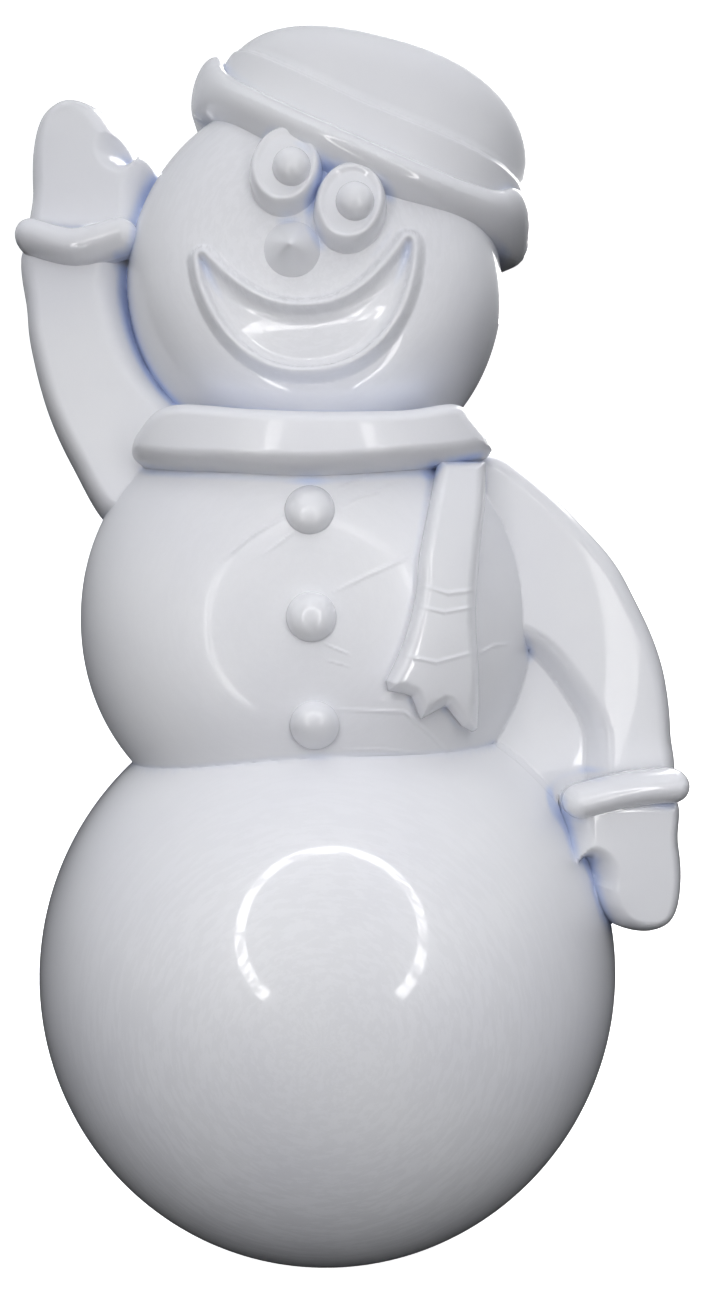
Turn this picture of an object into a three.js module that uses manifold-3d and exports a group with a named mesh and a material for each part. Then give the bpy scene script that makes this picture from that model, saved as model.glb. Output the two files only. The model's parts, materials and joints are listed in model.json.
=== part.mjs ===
// Half-relief yard snowman: thin formed plastic shells on a flat back panel, standing on a
// folding rear leg. Millimetres, +Z up, the front faces -Y. The figure is drawn in its own
// upright frame, where the panel's front face is the plane Y = 0 and a height stands out of
// it towards -Y, and is then leaned back as one group.
import * as THREE from 'three';
import { mergeVertices } from 'three/addons/utils/BufferGeometryUtils.js';
import Module from 'manifold-3d';

const wasm = await Module();
wasm.setup();

// ---- driving dimensions ----
const WALL = 2.2;          // formed sheet
const GAP = 0.3;           // clearance between touching pieces
const PANEL = 3;           // back panel thickness
const LEAN = 14;           // the figure leans back, degrees
const FOOT_TRIM = 12.5;    // the ball is trimmed flat this far up the panel, to stand on

// Domes: centre, half-width a, half-height b, relief height, and the roundness of the
// profile (p flattens the top, m squares the outline).
const BALL = { x: -18.5, z: 173.5, a: 168, b: 165, height: 130, p: 2.1 };
const TORSO = { x: -31, z: 376, a: 132.6, b: 128, height: 92, p: 3 };
const HEAD = { x: -26.2, z: 567.5, a: 110, b: 109, height: 80, p: 4.4 };
const MIDDLE = -20.5;      // the hinge, the feet and the hanger are centred on this line

// The hat's own frame leans to the right, and its crown leans less. The crown's lower half
// reaches down by low, and the band and the brim drop towards the front by their dips.
const HAT = { x: 1, z: 640, turn: 23.8 };
const CROWN = {
  x: 6.1, z: 654, a: 95, b: 44, low: 130, height: 84, p: 2.8, m: 2.45, turn: 13.5,
};
const BAND = { z: 33, dip: 33, proud: 2.6 };
const BRIM = { a: 95, z: 0, height: 85, radius: 12.5, dip: 29 };

const COLLAR = { x: -25.5, z: 470, a: 98.5, height: 102, half: 17, bulge: 21, tilt: 4.7 };
const TAIL_PROUD = 11;
const WEB_HEIGHT = 26;     // the gusset between the lowered arm, the torso and the ball

const MOUTH = { x: -28.2, z: 563.3, half: 53, turn: 4.3, upperSag: 33, lowerSag: 58, bead: 4 };
const EYE = { a: 18.6, b: 22.4, height: 12, turn: 14 };
const PUPIL = { radius: 10, height: 7 };
const BUTTON = { radius: 12.7, height: 9 };
const NOSE = { x: -35, z: 564.5, radius: 14.3, length: 16 };

const HINGE = { z: 430, standoff: 14, rod: 3, bore: 3.6, bar: 8, half: 55 };
const LEG = { tube: 6, wall: 1.2, topHalf: 46, footHalf: 130, angle: 11, brace: 0.58 };
const LUG = { half: 12, low: 3, high: 11, tail: 2 };
const TIP = { radius: 9, length: 26 };
const BRACKET = { width: 24, depth: 34, sheet: 2.5, ear: 11, rivets: 10 };
const ROD_HEAD = { radius: 5, length: 2.5, play: 2 };
const RIVET = { shank: 2, hole: 2.4, head: 4.2, rise: 1.6 };
const HANGER = {
  z: 600, pivot: 9, width: 34, depth: 26, drop: 6, sheet: 2, knuckle: 4.6, knuckleHalf: 8,
  rivetX: 12.5, rivetZ: 8,
};
const RING = { radius: 16, wire: 2, bore: 2.5 };

// ---- materials ----
const finish = (color, roughness, metalness) =>
  new THREE.MeshStandardMaterial({ color, roughness, metalness });
const shellPlastic = finish(0xe4e5ea, 0.22, 0);
const panelPlastic = finish(0xdcdde2, 0.45, 0);
const tubePaint = finish(0xd9dade, 0.4, 0.2);
const zincSteel = finish(0xa8abb0, 0.35, 0.9);
const footRubber = finish(0x2b2c2e, 0.85, 0);

const rad = THREE.MathUtils.degToRad;

// ---- solids ----

// Six times the signed volume: positive when the faces point outwards.
function signedVolume(position, triangles) {
  const [a, b, c] = [new THREE.Vector3(), new THREE.Vector3(), new THREE.Vector3()];
  let sum = 0;
  for (const [i, j, k] of triangles) {
    a.fromBufferAttribute(position, i);
    b.fromBufferAttribute(position, j);
    c.fromBufferAttribute(position, k);
    sum += a.dot(b.cross(c));
  }
  return sum;
}

// A closed geometry as a solid: shared vertices merged, slivers on the axis of a turned
// shape dropped, faces pointing out.
function toSolid(geometry) {
  const bare = geometry.clone();
  bare.deleteAttribute('normal');
  bare.deleteAttribute('uv');
  const merged = mergeVertices(bare, 1e-3);
  const index = merged.index.array;
  const triangles = [];
  for (let n = 0; n < index.length; n += 3) {
    const [i, j, k] = index.slice(n, n + 3);
    if (i !== j && j !== k && k !== i) triangles.push([i, j, k]);
  }
  if (signedVolume(merged.attributes.position, triangles) < 0) {
    triangles.forEach((triangle) => triangle.reverse());
  }
  return new wasm.Manifold(new wasm.Mesh({
    numProp: 3,
    vertProperties: new Float32Array(merged.attributes.position.array),
    triVerts: new Uint32Array(triangles.flat()),
  }));
}

function toMesh(name, solid, material) {
  const { vertProperties, triVerts } = solid.getMesh();
  const geometry = new THREE.BufferGeometry();
  geometry.setAttribute('position', new THREE.BufferAttribute(vertProperties, 3));
  geometry.setIndex(new THREE.BufferAttribute(triVerts, 1));
  geometry.computeVertexNormals();
  const mesh = new THREE.Mesh(geometry, material);
  mesh.name = name;
  return mesh;
}

const cut = (solid, ...tools) => tools.reduce((rest, tool) => rest.subtract(tool), solid);
const join = (first, ...others) => others.reduce((all, other) => all.add(other), first);

// The largest of a solid's separate bodies; the rest are slivers that trimming left.
const largest = (solid) => solid.decompose().reduce((best, body) => {
  return body.volume() > best.volume() ? body : best;
});

function box(x0, x1, y0, y1, z0, z1) {
  const geometry = new THREE.BoxGeometry(x1 - x0, y1 - y0, z1 - z0);
  return geometry.translate((x0 + x1) / 2, (y0 + y1) / 2, (z0 + z1) / 2);
}

// A straight round bar or tube core between two points.
function rod(from, to, radius, sides = 16) {
  const axis = new THREE.Vector3().subVectors(to, from);
  const geometry = new THREE.CylinderGeometry(radius, radius, axis.length(), sides);
  const turn = new THREE.Quaternion().setFromUnitVectors(
    new THREE.Vector3(0, 1, 0), axis.clone().normalize());
  geometry.applyQuaternion(turn);
  return toSolid(geometry.translate(...from.clone().addScaledVector(axis, 0.5)));
}

// ---- relief shapes, standing out of the panel towards -Y ----
const REACH = 400;
const SKIRT = 6;           // how far a raw shape runs behind its base before it is trimmed
const front = toSolid(box(-REACH, REACH, -REACH, -GAP, -100, 900));

const roundness = (x, z, m = 2) => (Math.abs(x) ** m + Math.abs(z) ** m) ** (1 / m);

function domeHeight(dome, x, z) {
  const r = roundness((x - dome.x) / dome.a, (z - dome.z) / dome.b, dome.m);
  return dome.height * Math.sqrt(Math.max(0, 1 - r ** (dome.p ?? 2)));
}

// A dome, larger all round by grow, on a base that stands base above the panel.
function domeGeometry(dome, grow = 0, sides = 30, rings = 5) {
  const { x, z, p = 2, m = 2, turn = 0, base = 0 } = dome;
  const profile = [];
  for (let ring = 0; ring <= rings; ring += 1) {
    const angle = (ring / rings) * (Math.PI / 2);
    const height = (dome.height + grow) * Math.cos(angle);
    profile.push(new THREE.Vector2(Math.sin(angle) ** (2 / p), -base - height));
  }
  profile.push(new THREE.Vector2(1, SKIRT - base), new THREE.Vector2(0, SKIRT - base));
  profile[0].x = 0;
  const geometry = new THREE.LatheGeometry(profile, sides);
  const position = geometry.attributes.position;
  for (let n = 0; n < position.count; n += 1) {
    const [px, pz] = [position.getX(n), position.getZ(n)];
    const radius = Math.hypot(px, pz);
    const square = radius > 0 ? radius / roundness(px, pz, m) : 1;
    position.setX(n, px * square * (dome.a + grow));
    const reach = pz < 0 && dome.low ? dome.low : dome.b;
    position.setZ(n, pz * square * (reach + grow));
  }
  return geometry.rotateY(rad(turn)).translate(x, 0, z);
}

const domeSolid = (dome, grow, sides, rings) => toSolid(domeGeometry(dome, grow, sides, rings));

// The dome as a formed sheet.
const domeShell = (dome) => cut(domeSolid(dome), domeSolid(dome, -WALL)).intersect(front);

// A closed smooth outline through a few points, [x, z].
function smoothOutline(points, steps = 22) {
  const curve = new THREE.CatmullRomCurve3(
    points.map(([x, z]) => new THREE.Vector3(x, z, 0)), true, 'centripetal');
  const ring = curve.getSpacedPoints(steps).slice(0, -1);
  return new THREE.Shape(ring.map((point) => new THREE.Vector2(point.x, point.y)));
}

// A straight bar outline with round ends.
function barOutline([x0, z0], [x1, z1], radius) {
  const along = Math.atan2(z1 - z0, x1 - x0);
  const shape = new THREE.Shape();
  shape.absarc(x1, z1, radius, along - Math.PI / 2, along + Math.PI / 2);
  shape.absarc(x0, z0, radius, along + Math.PI / 2, along + 1.5 * Math.PI);
  return shape;
}

// A raised pad with a rounded front edge, drawn by its outline and made smaller by inset.
function padSolid(shape, height, round, inset = 0) {
  const geometry = new THREE.ExtrudeGeometry(shape, {
    depth: height - round + SKIRT,
    bevelThickness: round - inset,
    bevelSize: round - inset,
    bevelOffset: -round,
    bevelSegments: 2,
    curveSegments: 6,
  });
  geometry.translate(0, 0, -SKIRT);
  return toSolid(geometry.rotateX(Math.PI / 2));
}

const padShell = (shape, height, round) =>
  cut(padSolid(shape, height, round), padSolid(shape, height, round, WALL)).intersect(front);

// A flat plate between two depths behind (positive) or in front of (negative) Y = 0.
function plate(shape, y0, y1) {
  const geometry = new THREE.ExtrudeGeometry(shape, {
    depth: y1 - y0,
    bevelEnabled: false,
    curveSegments: 10,
  });
  return toSolid(geometry.rotateX(Math.PI / 2).translate(0, y1, 0));
}

// ---- outlines in the figure's frame ----
const rightArmOutline = smoothOutline([
  [-191, 585], [-190, 530], [-170, 465], [-148, 433], [-100, 428], [-75, 468], [-110, 509],
  [-131, 550], [-134, 585],
]);
const leftArmOutline = smoothOutline([
  [50, 457], [79, 472], [122, 439], [157, 391], [176, 341], [179, 292], [170, 281],
  [134, 279], [124, 312], [104, 345], [60, 385],
]);
const rightCuffOutline = barOutline([-180.5, 584], [-132, 585], 9.8);
const leftCuffOutline = barOutline([118.5, 277.5], [167.5, 284.5], 9.3);
const webOutline = new THREE.Shape([
  [84, 400], [125, 360], [128, 290], [116, 262], [60, 240], [40, 300],
].map(([x, z]) => new THREE.Vector2(x, z)));

// The tail hangs from the collar and ends in two notches.
const tailOutline = new THREE.Shape([
  [39, 458], [30, 414], [26, 380], [13, 338], [25, 334], [31, 322], [44, 329], [53, 318],
  [62, 315], [62, 345], [60, 385], [66, 430], [67, 458],
].map(([x, z]) => new THREE.Vector2(x, z)));

const RIGHT_MITTEN = { x: -158, z: 629, a: 31.5, b: 45, height: 42, p: 4, m: 2.5, turn: -3 };
const RIGHT_THUMB = { x: -125.5, z: 622, a: 10, b: 21, height: 34, p: 3, turn: 12 };
const LEFT_MITTEN = { x: 153.5, z: 241, a: 28.5, b: 42, height: 62, p: 4, m: 2.5, turn: -8 };
const LEFT_THUMB = { x: 120.5, z: 251, a: 10.5, b: 23, height: 60, p: 3, turn: -8 };

// ---- filled bodies, used to trim what rests on them ----
const ballBody = domeSolid(BALL, GAP);
const torsoBody = domeSolid(TORSO, GAP);
const headBody = domeSolid(HEAD, GAP);
const leftArmBody = padSolid(leftArmOutline, 48, 13, -GAP);

// ---- the hat, drawn straight in its own frame and then turned ----
const onHat = (geometry) => geometry.rotateY(rad(HAT.turn)).translate(HAT.x, 0, HAT.z);
const hatDome = (grow) => domeSolid(CROWN, grow);

// The part of the hat above a plane that starts at z on the panel and drops towards the front.
function hatAbove(z, dip) {
  const block = box(-REACH, REACH, -REACH, REACH, 0, 200);
  block.rotateX(Math.atan(dip / BRIM.height)).translate(0, 0, z);
  return toSolid(onHat(block)).intersect(front);
}

// The rolled brim: a thick roll bent round the crown's foot from panel to panel.
class BrimCurve extends THREE.Curve {
  getPoint(t, target = new THREE.Vector3()) {
    const angle = Math.PI * (1.08 * t - 0.04);
    const [across, out] = [Math.cos(angle), Math.sin(angle)];
    return target.set(-BRIM.a * across, -BRIM.height * out, BRIM.z - BRIM.dip * out);
  }
}

function brimRoll(radius) {
  const ring = new THREE.Shape().absarc(0, 0, radius, 0, 2 * Math.PI);
  return toSolid(onHat(new THREE.ExtrudeGeometry(ring, {
    steps: 16,
    curveSegments: 5,
    extrudePath: new BrimCurve(),
  })));
}

function hatPieces() {
  const aboveBrim = hatAbove(BRIM.z, BRIM.dip);
  const crown = cut(hatDome(0), hatDome(-WALL)).intersect(aboveBrim);
  const bandShell = cut(hatDome(BAND.proud + GAP), hatDome(GAP));
  const band = cut(bandShell.intersect(aboveBrim), hatAbove(BAND.z, BAND.dip));
  const brim = cut(brimRoll(BRIM.radius), brimRoll(BRIM.radius - WALL)).intersect(front);
  const under = join(hatDome(BAND.proud + 2 * GAP).intersect(aboveBrim), headBody);
  return {
    hat_crown: cut(crown, headBody),
    hat_band: cut(band, headBody),
    hat_brim: largest(cut(brim, under)),
  };
}

// ---- the mouth: two beads along the lips, moulded into the head ----
function lipBead(sag, power) {
  const points = [];
  for (let n = 0; n <= 8; n += 1) {
    const t = -Math.cos((n / 8) * Math.PI);
    const across = MOUTH.half * t;
    const drop = sag * (1 - Math.abs(t) ** 2) ** power;
    const turn = rad(MOUTH.turn);
    const x = MOUTH.x + across * Math.cos(turn) + drop * Math.sin(turn);
    const z = MOUTH.z + across * Math.sin(turn) - drop * Math.cos(turn);
    points.push(new THREE.Vector3(x, -domeHeight(HEAD, x, z), z));
  }
  const ring = new THREE.Shape().absarc(0, 0, MOUTH.bead, 0, 2 * Math.PI);
  return toSolid(new THREE.ExtrudeGeometry(ring, {
    steps: 12,
    curveSegments: 3,
    extrudePath: new THREE.CatmullRomCurve3(points),
  }));
}

// ---- the scarf ----

// The collar is a bulged band round the neck, lower at the front than at the sides.
function collarRing(grow) {
  const profile = [];
  for (let n = 0; n <= 4; n += 1) {
    const angle = Math.PI * (n / 4 - 0.5);
    const radius = COLLAR.a - COLLAR.bulge + grow + COLLAR.bulge * Math.cos(angle);
    profile.push(new THREE.Vector2(radius, (COLLAR.half + grow) * Math.sin(angle)));
  }
  profile.unshift(new THREE.Vector2(0, profile[0].y));
  profile.push(new THREE.Vector2(0, profile.at(-1).y));
  const geometry = new THREE.LatheGeometry(profile, 32).rotateX(Math.PI / 2);
  geometry.scale(1, COLLAR.height / COLLAR.a, 1).rotateX(rad(COLLAR.tilt));
  return toSolid(geometry.translate(COLLAR.x, 0, COLLAR.z));
}

function scarfPieces() {
  const collar = cut(collarRing(0), collarRing(-WALL), headBody, torsoBody).intersect(front);
  const strip = plate(tailOutline, -REACH, -20).intersect(domeSolid(TORSO, TAIL_PROUD));
  return {
    scarf_collar: collar,
    scarf_tail: cut(strip, torsoBody, collarRing(GAP), leftArmBody),
  };
}

// ---- caps set on the face and the torso ----
function capOn(support, cap, body) {
  const base = domeHeight(support, cap.x, cap.z);
  return cut(domeSolid({ ...cap, base }, 0, 24, 4), body);
}

const EYES = { right_eye: [-38, 603.5], left_eye: [-5, 584.5] };
const PUPILS = { right_pupil: [-34.5, 601.5], left_pupil: [-2.5, 584] };
const BUTTONS = {
  button_top: [-25.5, 429],
  button_middle: [-24.5, 374.5],
  button_bottom: [-23, 319.5],
};

function capPieces() {
  const pieces = {};
  for (const [name, [x, z]] of Object.entries(EYES)) {
    pieces[name] = capOn(HEAD, { x, z, ...EYE }, join(headBody, brimRoll(BRIM.radius + GAP)));
  }
  const eyeBodies = Object.values(EYES).map(([x, z]) =>
    domeSolid({ x, z, ...EYE, base: domeHeight(HEAD, x, z) }, GAP, 24, 4));
  for (const [name, [x, z]] of Object.entries(PUPILS)) {
    const base = domeHeight(HEAD, x, z) + EYE.height - 1;
    const cap = { x, z, a: PUPIL.radius, b: PUPIL.radius, height: PUPIL.height, base };
    pieces[name] = cut(domeSolid(cap, 0, 20, 3), headBody, ...eyeBodies, brimRoll(BRIM.radius + GAP));
  }
  for (const [name, [x, z]] of Object.entries(BUTTONS)) {
    const cap = { x, z, a: BUTTON.radius, b: BUTTON.radius, height: BUTTON.height };
    pieces[name] = capOn(TORSO, cap, torsoBody);
  }
  return pieces;
}

function noseCone() {
  const base = domeHeight(HEAD, NOSE.x, NOSE.z);
  const tip = NOSE.length - 2;
  const profile = [
    [0, SKIRT], [NOSE.radius, SKIRT], [NOSE.radius, 0], [3, -tip], [1.6, -tip - 1.4], [0, -tip - 2],
  ].map(([radius, y]) => new THREE.Vector2(radius, y - base));
  const cone = toSolid(new THREE.LatheGeometry(profile, 24).translate(NOSE.x, 0, NOSE.z));
  return cut(cone, headBody);
}

// ---- arms, cuffs and mittens ----
const mittenBody = (palm, thumb, grow) =>
  join(domeSolid(palm, grow, 20, 4), domeSolid(thumb, grow, 12, 4));

const mittenShell = (palm, thumb) =>
  cut(mittenBody(palm, thumb, 0), mittenBody(palm, thumb, -WALL)).intersect(front);

function limbPieces() {
  const rightCuff = padSolid(rightCuffOutline, 54, 9.4, -GAP);
  const leftCuff = padSolid(leftCuffOutline, 70, 9, -GAP);
  const leftMittenBody = mittenBody(LEFT_MITTEN, LEFT_THUMB, GAP);
  const collar = collarRing(GAP);
  const web = plate(webOutline, -WEB_HEIGHT, WALL - WEB_HEIGHT);
  return {
    right_cuff: cut(padShell(rightCuffOutline, 54, 9.4), headBody),
    left_cuff: cut(padShell(leftCuffOutline, 70, 9), ballBody),
    right_arm: cut(padShell(rightArmOutline, 44, 13), rightCuff, torsoBody, headBody, collar),
    left_arm: cut(padShell(leftArmOutline, 48, 13), leftCuff, torsoBody, ballBody, collar),
    right_mitten: cut(mittenShell(RIGHT_MITTEN, RIGHT_THUMB), rightCuff, headBody),
    left_mitten: cut(mittenShell(LEFT_MITTEN, LEFT_THUMB), leftCuff, ballBody),
    arm_web: cut(web, torsoBody, ballBody, leftArmBody, leftCuff, leftMittenBody),
  };
}

// ---- back panel and what is riveted to it ----
const ellipse = ({ x, z, a, b, turn = 0 }, inset = 1) =>
  new THREE.Shape().absellipse(x, z, a - inset, b - inset, 0, 2 * Math.PI, false, rad(-turn));

const bracketSides = { left: 1, right: -1 };
const rivetSpots = {};
for (const [side, sign] of Object.entries(bracketSides)) {
  const x = sign * (HINGE.half + 4 + BRACKET.width / 2) + MIDDLE;
  rivetSpots[`bracket_rivet_upper_${side}`] = [x, HINGE.z + BRACKET.rivets, BRACKET.sheet];
  rivetSpots[`bracket_rivet_lower_${side}`] = [x, HINGE.z - BRACKET.rivets, BRACKET.sheet];
  const hangerX = MIDDLE + sign * HANGER.rivetX;
  rivetSpots[`hanger_rivet_${side}`] = [hangerX, HANGER.z + HANGER.rivetZ, HANGER.sheet];
}

const at = (x, y, z) => new THREE.Vector3(x, y, z);
const rivetHoles = (radius) => Object.values(rivetSpots).map(([x, z]) =>
  rod(at(x, -10, z), at(x, 30, z), radius, 12));

function backPanel() {
  const domes = [
    BALL, TORSO, HEAD, CROWN, RIGHT_MITTEN, RIGHT_THUMB, LEFT_MITTEN, LEFT_THUMB,
  ];
  const shapes = [
    ...domes.map((dome) => ellipse(dome)),
    rightArmOutline, leftArmOutline, webOutline, rightCuffOutline, leftCuffOutline,
  ];
  const plates = shapes.map((shape) => plate(shape, 0, PANEL));
  const brimFoot = [-1, 1].map((side) => {
    const end = at(side * BRIM.a, 0, BRIM.z).applyAxisAngle(at(0, 1, 0), rad(HAT.turn));
    end.add(at(HAT.x, 0, HAT.z));
    return rod(at(end.x, 0, end.z), at(end.x, PANEL, end.z), BRIM.radius, 20);
  });
  return cut(join(...plates, ...brimFoot), ...rivetHoles(RIVET.hole));
}

// A pan head behind the bracket, a shank through bracket and panel, and a set head in front.
function rivet([x, z, sheet]) {
  const back = PANEL + GAP + sheet + GAP;
  const half = [[0, -GAP - RIVET.rise], [RIVET.head * 0.7, -GAP - RIVET.rise], [RIVET.head, -GAP],
    [RIVET.shank, -GAP], [RIVET.shank, back], [RIVET.head, back],
    [RIVET.head * 0.7, back + RIVET.rise], [0, back + RIVET.rise]];
  const profile = half.map(([radius, y]) => new THREE.Vector2(radius, y));
  return toSolid(new THREE.LatheGeometry(profile, 12).translate(x, 0, z));
}

function hingeBracket(sign) {
  const [near, far] = [HINGE.half + 1.5, HINGE.half + 4 + BRACKET.width];
  const across = (x0, x1) => [sign * x0 + MIDDLE, sign * x1 + MIDDLE].sort((a, b) => a - b);
  const foot = PANEL + GAP;
  const axis = PANEL + HINGE.standoff;
  const base = toSolid(box(...across(near, far), foot, foot + BRACKET.sheet,
    HINGE.z - BRACKET.depth / 2, HINGE.z + BRACKET.depth / 2));
  const ear = toSolid(box(...across(near, near + BRACKET.sheet), foot, axis,
    HINGE.z - BRACKET.ear, HINGE.z + BRACKET.ear));
  const [x0, x1] = across(near, near + BRACKET.sheet);
  const nose = rod(at(x0, axis, HINGE.z), at(x1, axis, HINGE.z), BRACKET.ear, 24);
  const hole = rod(at(x0 - 5, axis, HINGE.z), at(x1 + 5, axis, HINGE.z), HINGE.rod + GAP, 16);
  return cut(join(base, ear, nose), hole, ...rivetHoles(RIVET.hole));
}

function hingeRod() {
  const end = HINGE.half + 1.5 + BRACKET.sheet + ROD_HEAD.play;
  const far = end + ROD_HEAD.length;
  const axis = PANEL + HINGE.standoff;
  const bar = (x0, x1, radius) =>
    rod(at(x0 + MIDDLE, axis, HINGE.z), at(x1 + MIDDLE, axis, HINGE.z), radius, 16);
  const heads = [bar(-far, -end, ROD_HEAD.radius), bar(end, far, ROD_HEAD.radius)];
  return join(bar(-end, end, HINGE.rod), ...heads);
}

function hangerPlate() {
  const foot = PANEL + GAP;
  const { z, pivot, width, depth, drop, sheet, knuckle, knuckleHalf } = HANGER;
  const base = toSolid(box(MIDDLE - width / 2, MIDDLE + width / 2, foot, foot + sheet,
    z - drop, z - drop + depth));
  const axis = PANEL + pivot;
  const roll = rod(at(MIDDLE - knuckleHalf, axis, z), at(MIDDLE + knuckleHalf, axis, z), knuckle, 20);
  const neck = toSolid(box(MIDDLE - knuckleHalf, MIDDLE + knuckleHalf, foot, axis, z, z + knuckle));
  const bore = rod(at(MIDDLE - 30, axis, z), at(MIDDLE + 30, axis, z), RING.bore, 16);
  return cut(join(base, roll, neck), bore, ...rivetHoles(RIVET.hole));
}

// ---- the figure, leaned back on the trimmed foot of the ball ----
const figure = new THREE.Group();
figure.rotation.x = -rad(LEAN);
figure.position.z = -FOOT_TRIM * Math.cos(rad(LEAN));
figure.updateMatrixWorld();

// Everything below the ground, in a group's own frame.
function groundIn(group) {
  const block = box(-1000, 1000, -1000, 1000, -300, 0);
  return toSolid(block.applyMatrix4(group.matrixWorld.clone().invert()));
}

const ground = groundIn(figure);
const headShell = join(domeShell(HEAD), lipBead(MOUTH.upperSag, 1), lipBead(MOUTH.lowerSag, 0.5));

const shells = {
  ball_shell: cut(domeShell(BALL), ground),
  torso_shell: cut(domeShell(TORSO), ballBody),
  head_shell: cut(headShell, torsoBody),
  ...hatPieces(),
  ...scarfPieces(),
  ...limbPieces(),
  ...capPieces(),
  nose_cone: noseCone(),
};
for (const [name, solid] of Object.entries(shells)) {
  figure.add(toMesh(name, solid, shellPlastic));
}
figure.add(toMesh('back_panel', cut(backPanel(), ground), panelPlastic));
for (const [side, sign] of Object.entries(bracketSides)) {
  figure.add(toMesh(`hinge_bracket_${side}`, hingeBracket(sign), zincSteel));
}
figure.add(toMesh('hinge_rod', hingeRod(), zincSteel));
figure.add(toMesh('hanger_plate', hangerPlate(), zincSteel));
for (const [name, spot] of Object.entries(rivetSpots)) {
  figure.add(toMesh(name, rivet(spot), zincSteel));
}

// ---- the rear leg, drawn hanging from its hinge axis and then swung out ----
const leg = new THREE.Group();
leg.position.set(MIDDLE, PANEL + HINGE.standoff, HINGE.z).applyMatrix4(figure.matrixWorld);
leg.rotation.x = rad(LEG.angle);
leg.updateMatrixWorld();
const legGround = groundIn(leg);
const drop = leg.position.z / Math.cos(rad(LEG.angle));

const legEnds = (sign) => [at(sign * LEG.topHalf, 0, 0), at(sign * LEG.footHalf, 0, -drop)];
const alongLeg = (sign, t) => new THREE.Vector3().lerpVectors(...legEnds(sign), t);

function legTube(sign, grow = 0) {
  return rod(alongLeg(sign, 0), alongLeg(sign, 0.992), LEG.tube + grow);
}

function legPieces() {
  const bar = rod(at(-HINGE.half, 0, 0), at(HINGE.half, 0, 0), HINGE.bar, 24);
  const bore = rod(at(-80, 0, 0), at(80, 0, 0), HINGE.bore, 16);
  // The stop lug on top of the bar meets the panel when the leg is fully open.
  const lugReach = HINGE.standoff - GAP;
  const lugBox = box(-LUG.half, LUG.half, -lugReach, LUG.tail, LUG.low, LUG.high);
  const lug = toSolid(lugBox.rotateX(-rad(LEG.angle + LEAN)));
  const pieces = { leg_bar: cut(join(bar, lug), bore) };
  const braceRadius = LEG.tube - 1;
  const brace = rod(alongLeg(-1, LEG.brace), alongLeg(1, LEG.brace), braceRadius);
  const [coreLeft, coreRight] = [-200, 200].map((x) => at(x, 0, -LEG.brace * drop));
  const braceCore = rod(coreLeft, coreRight, braceRadius - LEG.wall);
  pieces.leg_brace = cut(brace, braceCore, legTube(1, GAP), legTube(-1, GAP));
  for (const [side, sign] of Object.entries(bracketSides)) {
    const core = rod(alongLeg(sign, -0.1), alongLeg(sign, 1.1), LEG.tube - LEG.wall);
    const length = alongLeg(sign, 0).distanceTo(alongLeg(sign, 1));
    const barOver = rod(at(-80, 0, 0), at(80, 0, 0), HINGE.bar + GAP, 24);
    const tip = rod(alongLeg(sign, 1 - TIP.length / length), alongLeg(sign, 1.03), TIP.radius, 20);
    pieces[`leg_tube_${side}`] = cut(legTube(sign), core, barOver);
    pieces[`foot_tip_${side}`] = cut(tip, legTube(sign, GAP), legGround);
  }
  return pieces;
}

for (const [name, solid] of Object.entries(legPieces())) {
  const paint = name.startsWith('foot') ? footRubber : tubePaint;
  leg.add(toMesh(name, solid, paint));
}

// ---- the hanging ring, plumb below its knuckle ----
const hanger = new THREE.Group();
hanger.position.set(MIDDLE, PANEL + HANGER.pivot, HANGER.z).applyMatrix4(figure.matrixWorld);

class RingArc extends THREE.Curve {
  getPoint(t, target = new THREE.Vector3()) {
    const angle = Math.PI * t;
    return target.set(-RING.radius * Math.cos(angle), 0, -RING.radius * Math.sin(angle));
  }
}

function hangerRing() {
  const wire = new THREE.Shape().absarc(0, 0, RING.wire, 0, 2 * Math.PI);
  const bow = toSolid(new THREE.ExtrudeGeometry(wire, {
    steps: 12,
    curveSegments: 4,
    extrudePath: new RingArc(),
  }));
  const bar = rod(at(-RING.radius, 0, 0), at(RING.radius, 0, 0), RING.wire, 8);
  const corners = [-1, 1].map((side) =>
    toSolid(new THREE.SphereGeometry(RING.wire, 8, 6).translate(side * RING.radius, 0, 0)));
  return join(bar, bow, ...corners);
}
hanger.add(toMesh('hanger_ring', hangerRing(), zincSteel));

// ---- the whole, with its origin on the ground at the middle of its footprint ----
const snowman = new THREE.Group();
snowman.add(figure, leg, hanger);
const middle = new THREE.Box3().setFromObject(snowman, true).getCenter(new THREE.Vector3());
snowman.position.set(-middle.x, -middle.y, 0);

export default snowman;
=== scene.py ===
"""The looks of the half-relief snowman: smooth formed shells, their plastic, and a plain studio.

Lengths are millimetres in the figure's own frame, as in the CAD: x to the right, z up the
panel, and a height standing out of the panel's front face towards the viewer. figure_matrix()
takes that frame to the row frame in metres.
"""

import json
import math

import bpy
import numpy as np
from mathutils import Matrix, Vector
from mathutils.geometry import delaunay_2d_cdt


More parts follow.
